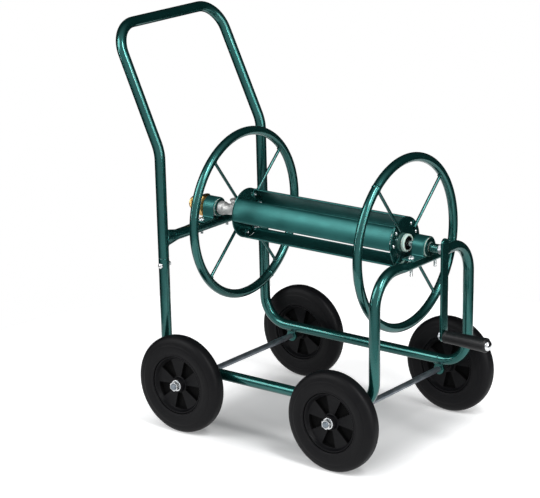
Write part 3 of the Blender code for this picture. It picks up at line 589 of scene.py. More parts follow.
def crossbar():
    """Half widths along Y: tall and thin at the ends, round, then low and wide in the middle."""
    y = np.unique(np.round(np.r_[rimmed(-0.1585, 0.1585, 0.004, 0.006)], 6))
    reach = np.abs(y)
    stations = np.array([0.0, 0.066, 0.090, 0.126, 0.150, 0.170])
    high = np.interp(reach, stations, [0.0095, 0.0095, 0.0100, 0.0110, 0.0162, 0.0165])
    wide = np.interp(reach, stations, [0.0125, 0.0125, 0.0118, 0.0110, 0.0083, 0.0080])
    power = np.interp(reach, stations, [4.2, 4.2, 2.6, 2.0, 2.4, 2.6])
    path = np.stack([np.full_like(y, CROSSBAR_X), y, np.full_like(y, CROSSBAR_Z)], axis=1)
    outside = carried(path, AXES[2], high, wide, sides=40, power=power)
    ends = np.stack([path[:1].repeat(40, 0), path[-1:].repeat(40, 0)])
    grid = np.concatenate([ends[:1], outside, ends[1:]])
    return piece("rear_crossbar_tube", [(grid, False, True)], GREEN_DARK, "cart_frame",
                 ["rear_crossbar"])


def weld_bead(path, reference, radius, ripple=0.16, waves=40, sides=10):
    """A closed bead: its radius swells and shrinks along the seam like laid drops of metal."""
    turn = np.arange(len(path)) * 2 * math.pi / len(path)
    swell = radius * (1 + ripple * np.sin(waves * turn) + 0.4 * ripple * np.sin(3 * turn + 1.0))
    return carried(path, reference, swell, swell, sides=sides, closed=True), True, True


def crossbar_weld(side):
    """The seam between the pinched end and the leg: an ellipse in X and Z laid on the leg's round side."""
    a = np.arange(160) * 2 * math.pi / 160
    x = CROSSBAR_X + 0.0088 * np.cos(a)
    z = CROSSBAR_Z + 0.0172 * np.sin(a)
    off = np.clip(x - upright_x(z), -TUBE_R * 0.97, TUBE_R * 0.97)
    y = side * (FRAME_Y - np.sqrt(TUBE_R ** 2 - off ** 2) - 0.0002)
    return weld_bead(np.stack([x, y, z], axis=1), (0.0, -side, 0.0), 0.0019)


bar = crossbar()
bar_welds = piece("crossbar_welds", [crossbar_weld(side) for _, side in SIDES], GREEN_DARK, "cart_frame")
report("crossbar", bar, bar_welds)

# %% [markdown]
# ## Fasteners
#
# Nuts are hexagonal prisms whose corners are cut by a cone, and their bores are threaded. Each nut is one
# turned surface whose radius is the smaller of the prism and the cone. Bolts have a round or hexagonal head
# on a threaded shank.

# %% Nuts, washers and bolts
def nut(low, high, radius, bore, axis, centre, pitch=BAR_PITCH, sides=72):
    """A hex nut between two positions along its axis, with a threaded bore."""
    a, b = min(low, high), max(low, high)
    faces = span_of(a, b, 0.0005)
    outer = np.stack([faces, np.full_like(faces, radius)], axis=1)
    inner = np.stack([faces[::-1], np.full_like(faces, bore)], axis=1)
    profile = np.concatenate([[[a, bore + 0.0006], [a, radius * 0.82]], outer[1:-1],
                              [[b, radius * 0.82], [b, bore + 0.0006]], inner[1:-1]])
    hexed, threaded = hexagon(radius, a, b, 0.86), helix(pitch, 0.0005, a, b)

    def shape(along, ring, angle):
        return np.where(ring > 0.83 * radius, hexed(along, ring, angle), threaded(along, ring, angle))
    return turned(profile, axis, centre, sides=sides, shape=shape)


def washer(low, high, radius, bore, axis, centre, sides=56):
    """A flat ring with eased edges."""
    profile = eased([(low, bore), (low, radius), (high, radius), (high, bore)], 0.0004, 3)
    return turned(profile, axis, centre, sides=sides)


def threaded_bar(low, high, radius, axis, centre, pitch=BAR_PITCH, depth=0.0005, chamfer=0.0008, sides=40):
    """A screwed rod with chamfered ends, closed at both poles."""
    run = span_of(low + chamfer, high - chamfer, pitch / 6)
    tip = radius - chamfer
    line = [(low, 0.0), (low, tip)] + [(v, radius) for v in run] + [(high, tip), (high, 0.0)]
    screw = helix(pitch, depth, low + chamfer, high - chamfer)
    return turned(line, axis, centre, sides=sides, closed=False, shape=screw)


def dome_head(seat, rise, radius, axis, centre, sides=40):
    """A mushroom head: radius follows a circle from the seat to the crown."""
    t = np.linspace(0, math.pi / 2, 12)
    line = np.stack([seat + rise * np.sin(t), radius * np.cos(t)], axis=1)
    line = np.concatenate([[[seat, 0.0]], line])
    return turned(line, axis, centre, sides=sides, closed=False)


# %% Bolts through the handle joints
def handle_bolts(name, side):
    """A round head outside, a hex nut and the screwed end inside."""
    low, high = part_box("handle_bolt_" + name)
    z = float(low.z + high.z) / 2
    centre = (upright_x(z), side * FRAME_Y, z)
    seat = side * (TUBE_R + GAP)
    bolt = piece("handle_bolt_dressed_" + name,
                 [dome_head(seat, side * 0.0034, 0.0056, 1, centre),
                  threaded_bar(*sorted((seat, -side * 0.0205)), 0.0028, 1, centre, 0.001, 0.0004)],
                 ZINC, "cart_frame", ["handle_bolt_" + name])
    flats = piece("handle_nut_dressed_" + name,
                  [nut(-side * (TUBE_R + GAP), -side * 0.0165, 0.0058, 0.0031, 1, centre, 0.001)],
                  ZINC, "cart_frame", ["handle_nut_" + name])
    return bolt, flats


report("handle bolts", *[p for name, side in SIDES for p in handle_bolts(name, side)])

# %% [markdown]
# ## Axles, lugs and spacers
#
# Each axle is a plain steel bar with screwed ends. It hangs in two lugs welded under the rails. A lug is a
# plate, round below and straight above; the spacer between lug and wheel is a short sleeve.

# %% Axles
WHEEL_ENDS = ("rear", "front")
wheel_low, wheel_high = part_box("tyre_front_left")
WHEEL_R = float(wheel_high.z - wheel_low.z) / 2
AXLE_TIP = float(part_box("front_axle")[1].y)
WHEEL_Y = float(wheel_low.y + wheel_high.y) / 2
print("wheel radius", round(WHEEL_R, 4), "axle tip", round(AXLE_TIP, 4), "wheel y", round(WHEEL_Y, 4))


def axle_x(end):
    """Where an axle lies along the cart."""
    low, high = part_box(end + "_axle")
    return float(low.x + high.x) / 2


def axle(end):
    """A smooth bar between two screwed ends: the thread is only on the last 20 mm."""
    radius, screwed = 0.006, 0.0135
    centre = (axle_x(end), 0.0, WHEEL_R)
    run = np.r_[span_of(-AXLE_TIP + 0.001, -AXLE_TIP + screwed, 0.0002),
                span_of(-AXLE_TIP + screwed, AXLE_TIP - screwed, 0.02)[1:-1],
                span_of(AXLE_TIP - screwed, AXLE_TIP - 0.001, 0.0002)]
    tip_r = 0.0047
    line = [(-AXLE_TIP, 0.0), (-AXLE_TIP, tip_r)] + [(v, radius) for v in run] + [(AXLE_TIP, tip_r), (AXLE_TIP, 0.0)]

    def shape(along, ring, angle):
        wave = thread_wave(along, angle, BAR_PITCH)
        return ring - 0.0005 * wave * (np.abs(along) > AXLE_TIP - screwed + 0.0005) * (ring > 0.005)
    return piece(end + "_axle_bar", [turned(line, 1, centre, sides=36, closed=False, shape=shape)], STEEL,
                 "cart_frame", [end + "_axle"])


def lug(label, end, side):
    """A plate in X and Z: its outline is pulled in to the middle on both faces, with eased edges."""
    low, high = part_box("axle_lug_" + label)
    x, y = axle_x(end), side * FRAME_Y
    half = float(high.x - low.x) / 2
    a = np.linspace(math.pi, 2 * math.pi, 25)
    below = np.stack([x + half * np.cos(a), WHEEL_R + half * np.sin(a)], axis=1)
    above = np.stack([np.linspace(x + half, x - half, 9)[1:-1], np.full(7, float(high.z))], axis=1)
    outline = np.concatenate([below, above])
    thick = float(high.y - low.y)
    across = np.array([(-0.5, 0.0), (-0.5, 0.93), (-0.42, 0.985), (-0.25, 1.0), (0.25, 1.0), (0.42, 0.985),
                       (0.5, 0.93), (0.5, 0.0)])
    middle = np.array([x, WHEEL_R + 0.001])
    flat = middle + (outline - middle)[None] * across[:, 1][:, None, None]
    grid = np.stack([flat[..., 0], y + thick * across[:, 0][:, None] * np.ones(len(outline)), flat[..., 1]], axis=2)
    return grid, False, True


def lug_welds(end, side):
    """A bead on each side of the lug, lying in the corner under the rail."""
    x, y = axle_x(end), side * FRAME_Y
    beads = []
    for face in (-1, 1):
        run = np.linspace(-0.0115, 0.0115, 60)
        path = np.stack([x + run, np.full(60, y + face * 0.0036), np.full(60, RAIL_Z - TUBE_R + 0.0002)], axis=1)
        size = 0.0017 * np.sqrt(np.clip(1 - (run / 0.0119) ** 4, 0, 1)) * (1 + 0.14 * np.sin(run * 3600 + face))
        beads.append((carried(path, AXES[1], size, size, sides=10), False, True))
    return beads


def spacer(label, end, side):
    """A short sleeve with eased ends."""
    low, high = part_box("spacer_" + label)
    y0, y1, bore, radius = float(low.y), float(high.y), 0.0064, 0.009
    line = eased([(y0, bore), (y0, radius), (y1, radius), (y1, bore)], 0.0006)
    return turned(line, 1, (axle_x(end), 0.0, WHEEL_R), sides=40)


made = [axle(end) for end in WHEEL_ENDS]
for end in WHEEL_ENDS:
    for name, side in SIDES:
        label = end + "_" + name
        made.append(piece("axle_lug_plate_" + label, [lug(label, end, side)], GREEN, "cart_frame",
                          ["axle_lug_" + label]))
        made.append(piece("axle_lug_weld_" + label, lug_welds(end, side), GREEN, "cart_frame"))
        made.append(piece("spacer_sleeve_" + label, [spacer(label, end, side)], GRIP_BLACK, "cart_frame",
                          ["spacer_" + label]))
report("axles", *made)


# %% Washers and nuts of the wheels
def wheel_fasteners(label, end, side):
    """A washer against the hub and a nut on the screwed end of the axle."""
    centre = (axle_x(end), 0.0, WHEEL_R)
    disc_low, disc_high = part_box("washer_" + label)
    nut_low, nut_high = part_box("axle_nut_" + label)
    ring = piece("washer_ring_" + label, [washer(float(disc_low.y), float(disc_high.y), 0.0115, 0.0064, 1, centre)],
                 ZINC, "cart_frame", ["washer_" + label])
    flats = piece("axle_nut_hex_" + label, [nut(float(nut_low.y), float(nut_high.y), 0.0105, 0.0062, 1, centre)],
                  ZINC, "cart_frame", ["axle_nut_" + label])
    return ring, flats


report("wheel fasteners", *[p for end in WHEEL_ENDS for name, side in SIDES
                            for p in wheel_fasteners(end + "_" + name, end, side)])

# %% [markdown]
# ## The wheels
#
# A solid rubber tyre is one turned profile: a slightly crowned tread, round shoulders, a
# soft ridge on each flank and a lip against the rim. The wheel centre is moulded plastic, a dished web with
# five wedge-shaped pockets. The pockets are cut in the formula: the web's height drops by their depth
# wherever both the radius and the angle lie inside a wedge.

# %% Tyres
def name_of(side):
    """The word for a side."""
    return "left" if side > 0 else "right"


def tyre(label, end, side):
    """(along, radius) round the rubber, from the rim's lip over the flank and tread and back."""
    low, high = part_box("tyre_" + label)
    half = float(high.y - low.y) / 2
    bore = 0.0603
    flank = [(half - 0.0042, bore), (half - 0.0022, bore + 0.0004), (half - 0.0012, bore + 0.0020),
             (half - 0.0016, bore + 0.0045), (half - 0.0004, bore + 0.0110), (half, bore + 0.0180),
             (half - 0.0003, bore + 0.0222), (half - 0.0011, bore + 0.0240), (half - 0.0013, bore + 0.0262),
             (half - 0.0022, bore + 0.0310), (half - 0.0048, bore + 0.0362), (half - 0.0088, WHEEL_R - 0.0014),
             (half - 0.0135, WHEEL_R - 0.0002), (0.0022, WHEEL_R - 0.00005), (0.0006, WHEEL_R), (0.0, WHEEL_R)]
    far = [(-v, r) for v, r in flank[-2::-1]]
    line = eased(flank + far, 0.0022, 4)
    centre = (axle_x(end), side * WHEEL_Y, WHEEL_R)
    return piece("tyre_solid_" + label, [turned(line, 1, centre, sides=128)], RUBBER,
                 f"wheel_{end}_{name_of(side)}", ["tyre_" + label])


# %% Wheel centres
WINDOWS = 5
WINDOW_HALF = math.radians(17.5)
WINDOW_WALL = math.radians(1.3)


def wheel_centre(label, end, side):
    """The web's two faces are heights over (radius, angle); the pockets lower them inside each wedge, and their
    faces are painted near-black as shade.
    """
    first = math.radians(47.0 if (end, side) == ("front", -1) else 58.0)
    outer_face, floor = 0.0074, 0.0005
    hub_out, hub_in, band, rim = 0.0165, -0.019, 0.015, 0.0597
    # (along, radius, how much of the pocket's depth applies)
    front = [(hub_out, 0.0066, 0), (hub_out, 0.0075, 0), (hub_out, 0.0128, 0), (hub_out - 0.0008, 0.0139, 0),
             (outer_face + 0.0030, 0.0150, 0), (outer_face + 0.0009, 0.0158, 0), (outer_face + 0.0002, 0.0170, 0),
             (outer_face, 0.0174, 0), (outer_face, 0.0181, 1), (outer_face - 0.0003, 0.0300, 1),
             (outer_face - 0.0004, 0.0420, 1), (outer_face, 0.0518, 1), (outer_face + 0.0001, 0.0525, 0),
             (outer_face + 0.0008, 0.0534, 0), (outer_face + 0.0026, 0.0541, 0), (band - 0.0040, 0.0550, 0),
             (band - 0.0010, 0.0561, 0), (band, 0.0570, 0), (band, 0.0588, 0), (band - 0.0008, rim, 0)]
    back = [(-v if v != hub_out else hub_in, r, d) for v, r, d in front[::-1]]
    back = [(hub_in + 0.0008 if abs(v + (hub_out - 0.0008)) < 1e-9 else v, r, d) for v, r, d in back]
    along, radius, depth = np.array(front + back).T
    cuts = first + np.arange(WINDOWS) * 2 * math.pi / WINDOWS
    local = np.r_[-WINDOW_HALF, -WINDOW_HALF + WINDOW_WALL, np.linspace(-0.7, 0.7, 7) * WINDOW_HALF,
                  WINDOW_HALF - WINDOW_WALL, WINDOW_HALF]
    rib = np.linspace(WINDOW_HALF, 2 * math.pi / WINDOWS - WINDOW_HALF, 10)[1:-1]
    angle = (cuts[:, None] + np.r_[local, rib][None]).ravel()
    inside = (np.abs(np.r_[local, rib]) < WINDOW_HALF - 0.5 * WINDOW_WALL).astype(float)
    inside = np.tile(inside, WINDOWS)
    face_height = np.abs(along)[:, None] - depth[:, None] * inside[None] * (np.abs(along)[:, None] - floor)
    height = np.sign(along)[:, None] * face_height
    tight = 1.0 - 0.006 * depth[:, None] * inside[None]
    e_radial = np.cos(angle)[None, :, None] * AXES[0] + np.sin(angle)[None, :, None] * AXES[2]
    centre = np.array([axle_x(end), side * WHEEL_Y, WHEEL_R])
    grid = centre + side * height[..., None] * AXES[1] + (radius[:, None] * tight)[..., None] * e_radial
    # Painted shade: the faces inside the pockets, with one more row and one more column round them, take the
    # near-black shade finish.
    cut = (depth[:, None] * inside[None]) > 0
    cut = cut | np.roll(cut, -1, axis=0)
    cut = cut | np.roll(cut, -1, axis=1)
    return piece("wheel_centre_" + label, [(grid, True, True)], RIM_BLACK, f"wheel_{end}_{name_of(side)}",
                 ["rim_" + label], second=(PAINTED_SHADE_BLACK, cut.ravel()))


wheels = []
for end in WHEEL_ENDS:
    for name, side in SIDES:
        wheels += [tyre(end + "_" + name, end, side), wheel_centre(end + "_" + name, end, side)]
report("wheels", *wheels)

# %% [markdown]
# ## Bearings
#
# A strap of flat steel is bent over each plastic bush and bolted through two feet. The strap is a sheet: its
# middle line is drawn in Y and Z with small bends at the feet, carried along X, and given its thickness on
# both sides with a rounded rim.

# %% Straps
REEL_Z = 0.415
STRAP_R = 0.0185
STRAP_T = 0.003


def strap(name):
    """Middle line: foot, small bend, straight side, half circle over the bush, and the mirror of it."""
    low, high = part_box(name + "_bearing_strap")
    x0, x1 = float(low.x), float(high.x)
    foot_z, foot_y = float(low.z) + STRAP_T / 2, float(high.y)
    middle_r = STRAP_R + STRAP_T / 2
    rise = REEL_Z - foot_z
    a = np.linspace(0, math.pi, 33)
    bend = 0.0045
    b = np.linspace(0, math.pi / 2, 7)
    corner = np.stack([middle_r + bend - bend * np.sin(b), foot_z + bend - bend * np.cos(b)], axis=1)
    feet = rimmed(middle_r + bend - (foot_y - middle_r - bend), foot_y, 0.0014, 0.004)[::-1]
    feet = feet[feet > middle_r + bend + 1e-6]
    right = np.concatenate([np.stack([feet, np.full_like(feet, foot_z)], axis=1), corner])
    right = np.concatenate([right, [[middle_r, foot_z + bend + 0.5 * (rise - bend)]]])
    top = np.stack([middle_r * np.cos(a), REEL_Z + middle_r * np.sin(a)], axis=1)
    line = np.concatenate([right, top, (right * [-1, 1])[::-1]])
    tangent = np.gradient(line, axis=0)
    tangent /= np.linalg.norm(tangent, axis=1, keepdims=True)
    normal = np.stack([tangent[:, 1], -tangent[:, 0]], axis=1)
    x = rimmed(x0, x1, 0.0014, 0.005)
    middle = np.zeros((len(x), len(line), 3))
    middle[..., 0] = x[:, None]
    middle[..., 1:] = line[None]
    out = np.zeros_like(middle)
    out[..., 1:] = normal[None]
    return piece(name + "_strap_bent", sheet(middle, out, STRAP_T, 0.0014), GREEN_SATIN, "cart_frame",
                 [name + "_bearing_strap"])


report("straps", *[strap(name) for name in ("inlet", "crank")])


# %% Strap bolts
def strap_bolt(name, label):
    """Hex head above the foot with a washer under it, and a screwed end under the bar."""
    low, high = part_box(f"{name}_bearing_bolt_{label}")
    x, y = float(low.x + high.x) / 2, float(low.y + high.y) / 2
    centre = (x, y, 0.0)
    top, hex_r = float(high.z), 0.0058
    seat = top - 0.004
    run = span_of(seat + 0.0008, top, 0.0004)
    head = [(seat, 0.0), (seat, 0.0047)] + [(v, hex_r) for v in run] + [(top, 0.0046), (top, 0.0)]
    head = turned(head, 2, centre, sides=48, closed=False, shape=hexagon(hex_r, seat - 0.001, top, 0.86))
    below, above = seat - 0.0001, seat + 0.0009
    flange = eased([(below, 0.0), (below, 0.0068), (above, 0.0062), (above, 0.0)], 0.0003, 3, closed=False)
    flange = turned(flange, 2, centre, sides=40, closed=False)
    stud = threaded_bar(float(low.z), seat + 0.001, 0.003, 2, centre, 0.001, 0.0004)
    return piece(f"{name}_strap_bolt_{label}", [head, flange, stud], ZINC, "cart_frame",
                 [f"{name}_bearing_bolt_{label}"])


report("strap bolts", *[strap_bolt(name, label) for name in ("inlet", "crank") for label, _ in SIDES])

# %% [markdown]
# ## Bushes, collar and shaft
#
# Pale green acetal bushes fill the straps, and a collar of the same plastic keeps the drum in its place. All
# three are turned. The shaft is a plain steel bar that runs from the casting to the crank.

# %% Bushes and shaft
REEL_CENTRE = (0.0, 0.0, REEL_Z)


def painted_shade_faces(line, inner, start, sides):
    """Mask of a turned piece's faces nearer the axis than `inner` and further along than `start`: the faces painted
    near-black as shade.
    """
    near = (line[:, 1] < inner) & (line[:, 0] > start)
    return np.repeat(near & np.roll(near, -1), sides)


def bush(name, bore, lip):
    """A sleeve with its bore painted near-black as shade; the crank's bush also has a narrow nose towards the drum,
    painted the same.
    """
    low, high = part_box(name + "_bush")
    x0, x1, r = float(low.x), float(high.x), float(high.z - low.z) / 2
    line = [(x0, bore), (x0, r), (x1, r), (x1, bore)]
    if lip:
        line[1:2] = [(x0, 0.0095), (x0 + 0.0067, 0.0095), (x0 + 0.0067, r)]
    line = eased(line, 0.0009)
    return piece(name + "_bush_turned", [turned(line, 0, REEL_CENTRE, sides=56)], MINT, "cart_frame",
                 [name + "_bush"], second=(PAINTED_SHADE_BLACK, painted_shade_faces(line, 0.0100, x0 - 0.001, 56)))


def collar():
    """A ring with a recess on its outer face; the recess, down into the bore, is painted near-black as shade."""
    low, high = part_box("reel_collar")
    x0, x1 = float(low.x), float(high.x)
    line = [(x0, 0.0064), (x0, 0.0180), (x1 - 0.0015, 0.0180), (x1, 0.0164), (x1, 0.0140), (x0 + 0.0035, 0.0134),
            (x0 + 0.0035, 0.0064)]
    line = eased(line, 0.0009)
    return piece("reel_collar_turned", [turned(line, 0, REEL_CENTRE, sides=56)], MINT, "reel",
                 ["reel_collar"], second=(PAINTED_SHADE_BLACK, painted_shade_faces(line, 0.0139, x0 + 0.001, 56)))


def shaft():
    """A bar whose last stretch at the crank end is screwed for the lock nut."""
    low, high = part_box("reel_shaft")
    x0, x1, screwed = float(low.x), float(high.x), 0.262
    run = np.r_[span_of(x0 + 0.001, screwed, 0.02), span_of(screwed, x1 - 0.001, 0.00021)[1:]]
    line = [(x0, 0.0), (x0, 0.005)] + [(v, 0.006) for v in run] + [(x1, 0.005), (x1, 0.0)]

    def shape(along, ring, angle):
        wave = thread_wave(along, angle, BAR_PITCH)
        return ring - 0.0006 * wave * (along > screwed + 0.0005) * (ring > 0.0055)
    return piece("reel_shaft_bar", [turned(line, 0, REEL_CENTRE, sides=36, closed=False, shape=shape)], ZINC, "reel",
                 ["reel_shaft"])


def bearing_cap(name, bore, thick):
    """A painted washer that closes the strap on the bush's forward side, dished round its bore."""
    low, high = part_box(name + "_bush")
    x0 = float(high.x) + 0.0001
    line = [(x0, bore), (x0, 0.0184), (x0 + thick, 0.0184), (x0 + thick, bore + 0.002), (x0 + 0.6 * thick, bore)]
    return piece(name + "_bearing_cap", [turned(eased(line, 0.0003, 3), 0, REEL_CENTRE, sides=56)], GREEN_DARK,
                 "cart_frame")


def crank_boss():
    """The painted sleeve that joins the arm to the shaft, with shallow grooves."""
    x0, x1 = float(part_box("crank_bush")[1].x) + 0.0030, float(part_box("crank_lock_nut")[0].x) - 0.0003
    run = span_of(x0 + 0.001, x1 - 0.001, 0.0004)
    outer = [(x0, 0.0080)] + [(v, 0.0088) for v in run] + [(x1, 0.0080)]
    line = np.array([(x0, 0.0062)] + outer + [(x1, 0.0062)])

    def shape(along, ring, angle):
        groove = 0.0005 * np.clip(np.cos((along - x0) * 2 * math.pi / 0.0048), 0, 1) ** 3
        return ring - groove * (ring > 0.0085) * np.ones_like(angle)
    return piece("crank_boss_sleeve", [turned(line, 0, REEL_CENTRE, sides=48, shape=shape)], GREEN, "reel")


report("bushes and shaft", bush("inlet", 0.0098, False), bush("crank", 0.0064, True), collar(), shaft(),
       bearing_cap("crank", 0.0090, 0.0016), bearing_cap("inlet", 0.0097, 0.0013), crank_boss())

# %% [markdown]
# ## The water inlet
#
# Water comes in through a brass body with a hexagon, and a swivel coupling with a knurled edge takes the tap
# hose. Inside the bearing the body meets a cast elbow, which bends the water up into the drum. The casting is
# a ring carried round a bend with beads at its mouths; its skin is left rough.

# %% Brass body and coupling
def inlet_body():
    """Tail with a retaining lip, hexagon with chamfered corners, spigot; a water bore right through."""
    low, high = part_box("inlet_body")
    x0, x1 = float(low.x), float(high.x)
    hex_low, hex_high, hex_r = CROSSBAR_X - 0.0300, CROSSBAR_X - 0.0195, 0.0245
    line = eased([(x0, 0.0058), (x0, 0.0110), (x0 + 0.0025, 0.0110), (x0 + 0.0025, 0.0090), (hex_low, 0.0090)],
                 0.0005, 3, closed=False)
    faces = span_of(hex_low + 0.0002, hex_high - 0.0002, 0.0006)
    prism = np.stack([faces, np.full_like(faces, hex_r)], axis=1)
    rest = eased([(hex_high, 0.0200), (hex_high, 0.0060), (x1, 0.0060), (x1, 0.0040), (x0, 0.0058)], 0.0005, 3,
                 closed=False)
    profile = np.concatenate([line, [[hex_low, 0.0190]], prism, rest[:-1]])
    grid = turned(profile, 0, REEL_CENTRE, sides=96, shape=hexagon(hex_r, hex_low, hex_high, 0.88))
    return piece("brass_inlet_body", [grid], BRASS, "cart_frame", ["inlet_body"])


def coupling():
    """A ring nut: 28 knurls round its rim fade out at both ends; a thread inside its mouth."""
    low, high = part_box("inlet_coupling")
    x0, x1, r = float(low.x), float(high.x), float(high.z - low.z) / 2
    run = span_of(x0 + 0.001, x1 - 0.001, 0.0008)
    outer = [(x0, r - 0.001)] + [(v, r) for v in run] + [(x1, r - 0.001)]
    mouth = span_of(x1 - 0.003, x0 + 0.0004, 0.0003)
    inner = [(x1, 0.0095), (x1 - 0.003, 0.0095)] + [(v, 0.0113) for v in mouth]
    profile = np.array([(x0, 0.0118)] + outer + inner)

    def shape(along, ring, angle):
        fade = np.clip(np.minimum(along - x0, x1 - along) / 0.003 - 0.3, 0, 1)
        knurl = 0.0007 * np.abs(np.sin(14 * angle)) * fade
        wave = thread_wave(along, angle, PIPE_PITCH)
        cut = 0.0006 * wave * (along < x1 - 0.0035)
        return np.where(ring > 0.0119, ring - 0.0007 * fade + knurl, np.where(ring > 0.0110, ring - cut, ring))
    return piece("swivel_coupling_ring", [turned(profile, 0, REEL_CENTRE, sides=168, shape=shape)], BRASS,
                 "inlet_swivel", ["inlet_coupling"])


report("inlet", inlet_body(), coupling())


# %% Cast elbow
def elbow():
    """Rings along the water's way: journal, bead, waist, a quarter bend, and the beaded mouth that looks up."""
    low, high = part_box("inlet_elbow")
    outlet_x, bend_r = -0.212, 0.020
    start = float(low.x)
    bead = [(0.0168, 0.0095), (0.0172, 0.0138), (0.0190, 0.0143), (0.0270, 0.0143), (0.0290, 0.0138),
            (0.0302, 0.0120), (0.0330, 0.0116)]
    line = [(start, 0.0095)] + [(CROSSBAR_X + v, r) for v, r in bead] + [(outlet_x - bend_r, 0.0116)]
    line = eased(line, 0.0008, 3, closed=False)
    turn = np.linspace(0, math.pi / 2, 15)[1:]
    rise = np.array([0.0002, 0.0012, 0.0036, 0.0045])
    x = np.r_[line[:, 0], outlet_x - bend_r + bend_r * np.sin(turn), np.full(4, outlet_x)]
    z = REEL_Z + np.r_[np.zeros(len(line)), bend_r * (1 - np.cos(turn)), bend_r + rise]
    radius = np.r_[line[:, 1], np.full(len(turn), 0.0116), 0.0136, 0.0143, 0.0143, 0.0138]
    tilt = np.r_[np.zeros(len(line)), turn, np.full(4, math.pi / 2)]
    normal = np.stack([-np.sin(tilt), 0 * tilt, np.cos(tilt)], axis=1)
    angle = np.arange(48) * 2 * math.pi / 48
    ring = np.sin(angle)[None, :, None] * AXES[1] + np.cos(angle)[None, :, None] * normal[:, None]
    path = np.stack([x, 0 * x, z], axis=1)
    lumps = 1 + 0.012 * np.sin(3 * angle[None] + 40 * x[:, None]) * (radius[:, None] > 0.0110)
    outside = path[:, None] + ring * (radius[:, None] * lumps)[..., None]
    inside = (path[:, None] + ring * 0.0065)[::-1]
    shell = (np.concatenate([outside, inside]), True, True)
    boss = [(outlet_x + 0.0060, 0.0), (outlet_x + 0.0060, 0.0108), (outlet_x + 0.0110, 0.0105),
            (float(high.x), 0.0100), (float(high.x), 0.0)]
    boss = turned(eased(boss, 0.0012, 4, closed=False), 0, REEL_CENTRE, sides=40, closed=False)
    return piece("cast_elbow", [shell, boss], CAST, "reel", ["inlet_elbow"])


report("elbow", elbow())

# %% [markdown]
# ## The reel
#
# Each flange is a ring of tube on four rod spokes. The rings are bent from straight tube and closed with one
# weld; the spokes are welded to the ring's inside and to a pressed disc. Three curved panels between the discs
# make the drum, held by screws through bent tabs.

# %% Rings and spokes
SPOKES = np.radians([43.0, 128.5, 223.0, 308.5])
RINGS = {}
for end in ("inlet", "crank"):
    low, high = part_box(end + "_flange_ring")
    RINGS[end] = (float(low.x + high.x) / 2, float(high.x - low.x) / 2, float(high.z - low.z) / 2)
    print(end, "ring at x", round(RINGS[end][0], 4), "outer radius", round(RINGS[end][2], 4))


def around(x, radius, turn):
    """Points on a circle about the reel's axis."""
    turn = np.asarray(turn, float)
    return np.stack([np.full_like(turn, x), radius * np.cos(turn), REEL_Z + radius * np.sin(turn)], axis=-1)


def flange_ring(end, seam):
    """A circle carried round a circle; at the seam the tube swells into a flat weld band."""
    x, tube, outer = RINGS[end]
    turn = np.unique(np.round(np.r_[np.linspace(0, 2 * math.pi, 161)[:-1],
                                    (seam + np.linspace(-0.02, 0.02, 9)) % (2 * math.pi)], 6))
    path = around(x, outer - tube, turn)
    apart = np.abs((turn - seam + math.pi) % (2 * math.pi) - math.pi)
    swell = tube + 0.0009 * np.exp(-(apart / 0.0085) ** 2) - 0.0003
    reference = np.stack([0 * turn, np.cos(turn), np.sin(turn)], axis=1)
    grid = (carried(path, reference, swell, swell, sides=30, closed=True), True, True)
    return piece(end + "_ring_tube", [grid], GREEN, "reel", [end + "_flange_ring"])


def spoke(end, turn, start=0.037):
    """A straight rod from the disc to the inside of the ring, with a weld round its outer end."""
    x, tube, outer = RINGS[end]
    away = np.array([0.0, math.cos(turn), math.sin(turn)])
    reach = np.array([start, start, start + 0.001, outer - 2 * tube + 0.001, outer - 2 * tube + 0.003])
    path = np.array([x, 0, REEL_Z]) + reach[:, None] * away
    path[0] -= away * 1e-5
    radius = (1e-6, 0.0028, 0.0032, 0.0032, 0.0032)
    rod = carried(path, AXES[0], radius, radius, sides=16)
    rod = np.concatenate([rod, np.broadcast_to(path[-1], rod[:1].shape)])
    a = np.arange(48) * 2 * math.pi / 48
    side = np.cross(AXES[0], away)
    bead = np.array([x, 0, REEL_Z]) + (outer - 2 * tube - 0.0003 + 0.0009 * np.cos(2 * a))[:, None] * away
    bead = bead + 0.0037 * (np.cos(a)[:, None] * AXES[0] + np.sin(a)[:, None] * side)
    return [(rod, False, True), weld_bead(bead, away, 0.0016, waves=9, sides=10)]


def flange_disc(end):
    """A flat disc with a rounded rim, turned with its thickness and set inward of the ring."""
    x = RINGS[end][0]
    inward = 1.0 if end == "inlet" else -1.0
    middle = x + inward * 0.0045
    half = 0.0015
    line = [(-half, 0.0064), (-half, 0.0500), (-half + 0.0006, 0.0514), (0.0, 0.0520), (half - 0.0006, 0.0514),
            (half, 0.0500), (half, 0.0064)]
    return turned(eased(line, 0.0006, 3), 0, (middle, 0.0, REEL_Z), sides=96)


reel_parts = []
for end, seam in (("inlet", 5.2), ("crank", 2.25)):
    reel_parts.append(flange_ring(end, seam))
    rods = [g for turn in SPOKES for g in spoke(end, float(turn))]
    reel_parts.append(piece(end + "_spider_welded", [flange_disc(end)] + rods, GREEN_DARK, "reel",
                            [end + "_flange_spider"]))
report("flanges", *reel_parts)


# %% Drum panels
PANEL_R = 0.052
PANEL_T = 0.0015
PANEL_MIDDLES = (40.0, 160.0, 280.0)
PANEL_HALF = math.radians(29.0)
TAB_SPREAD = math.radians(19.0)


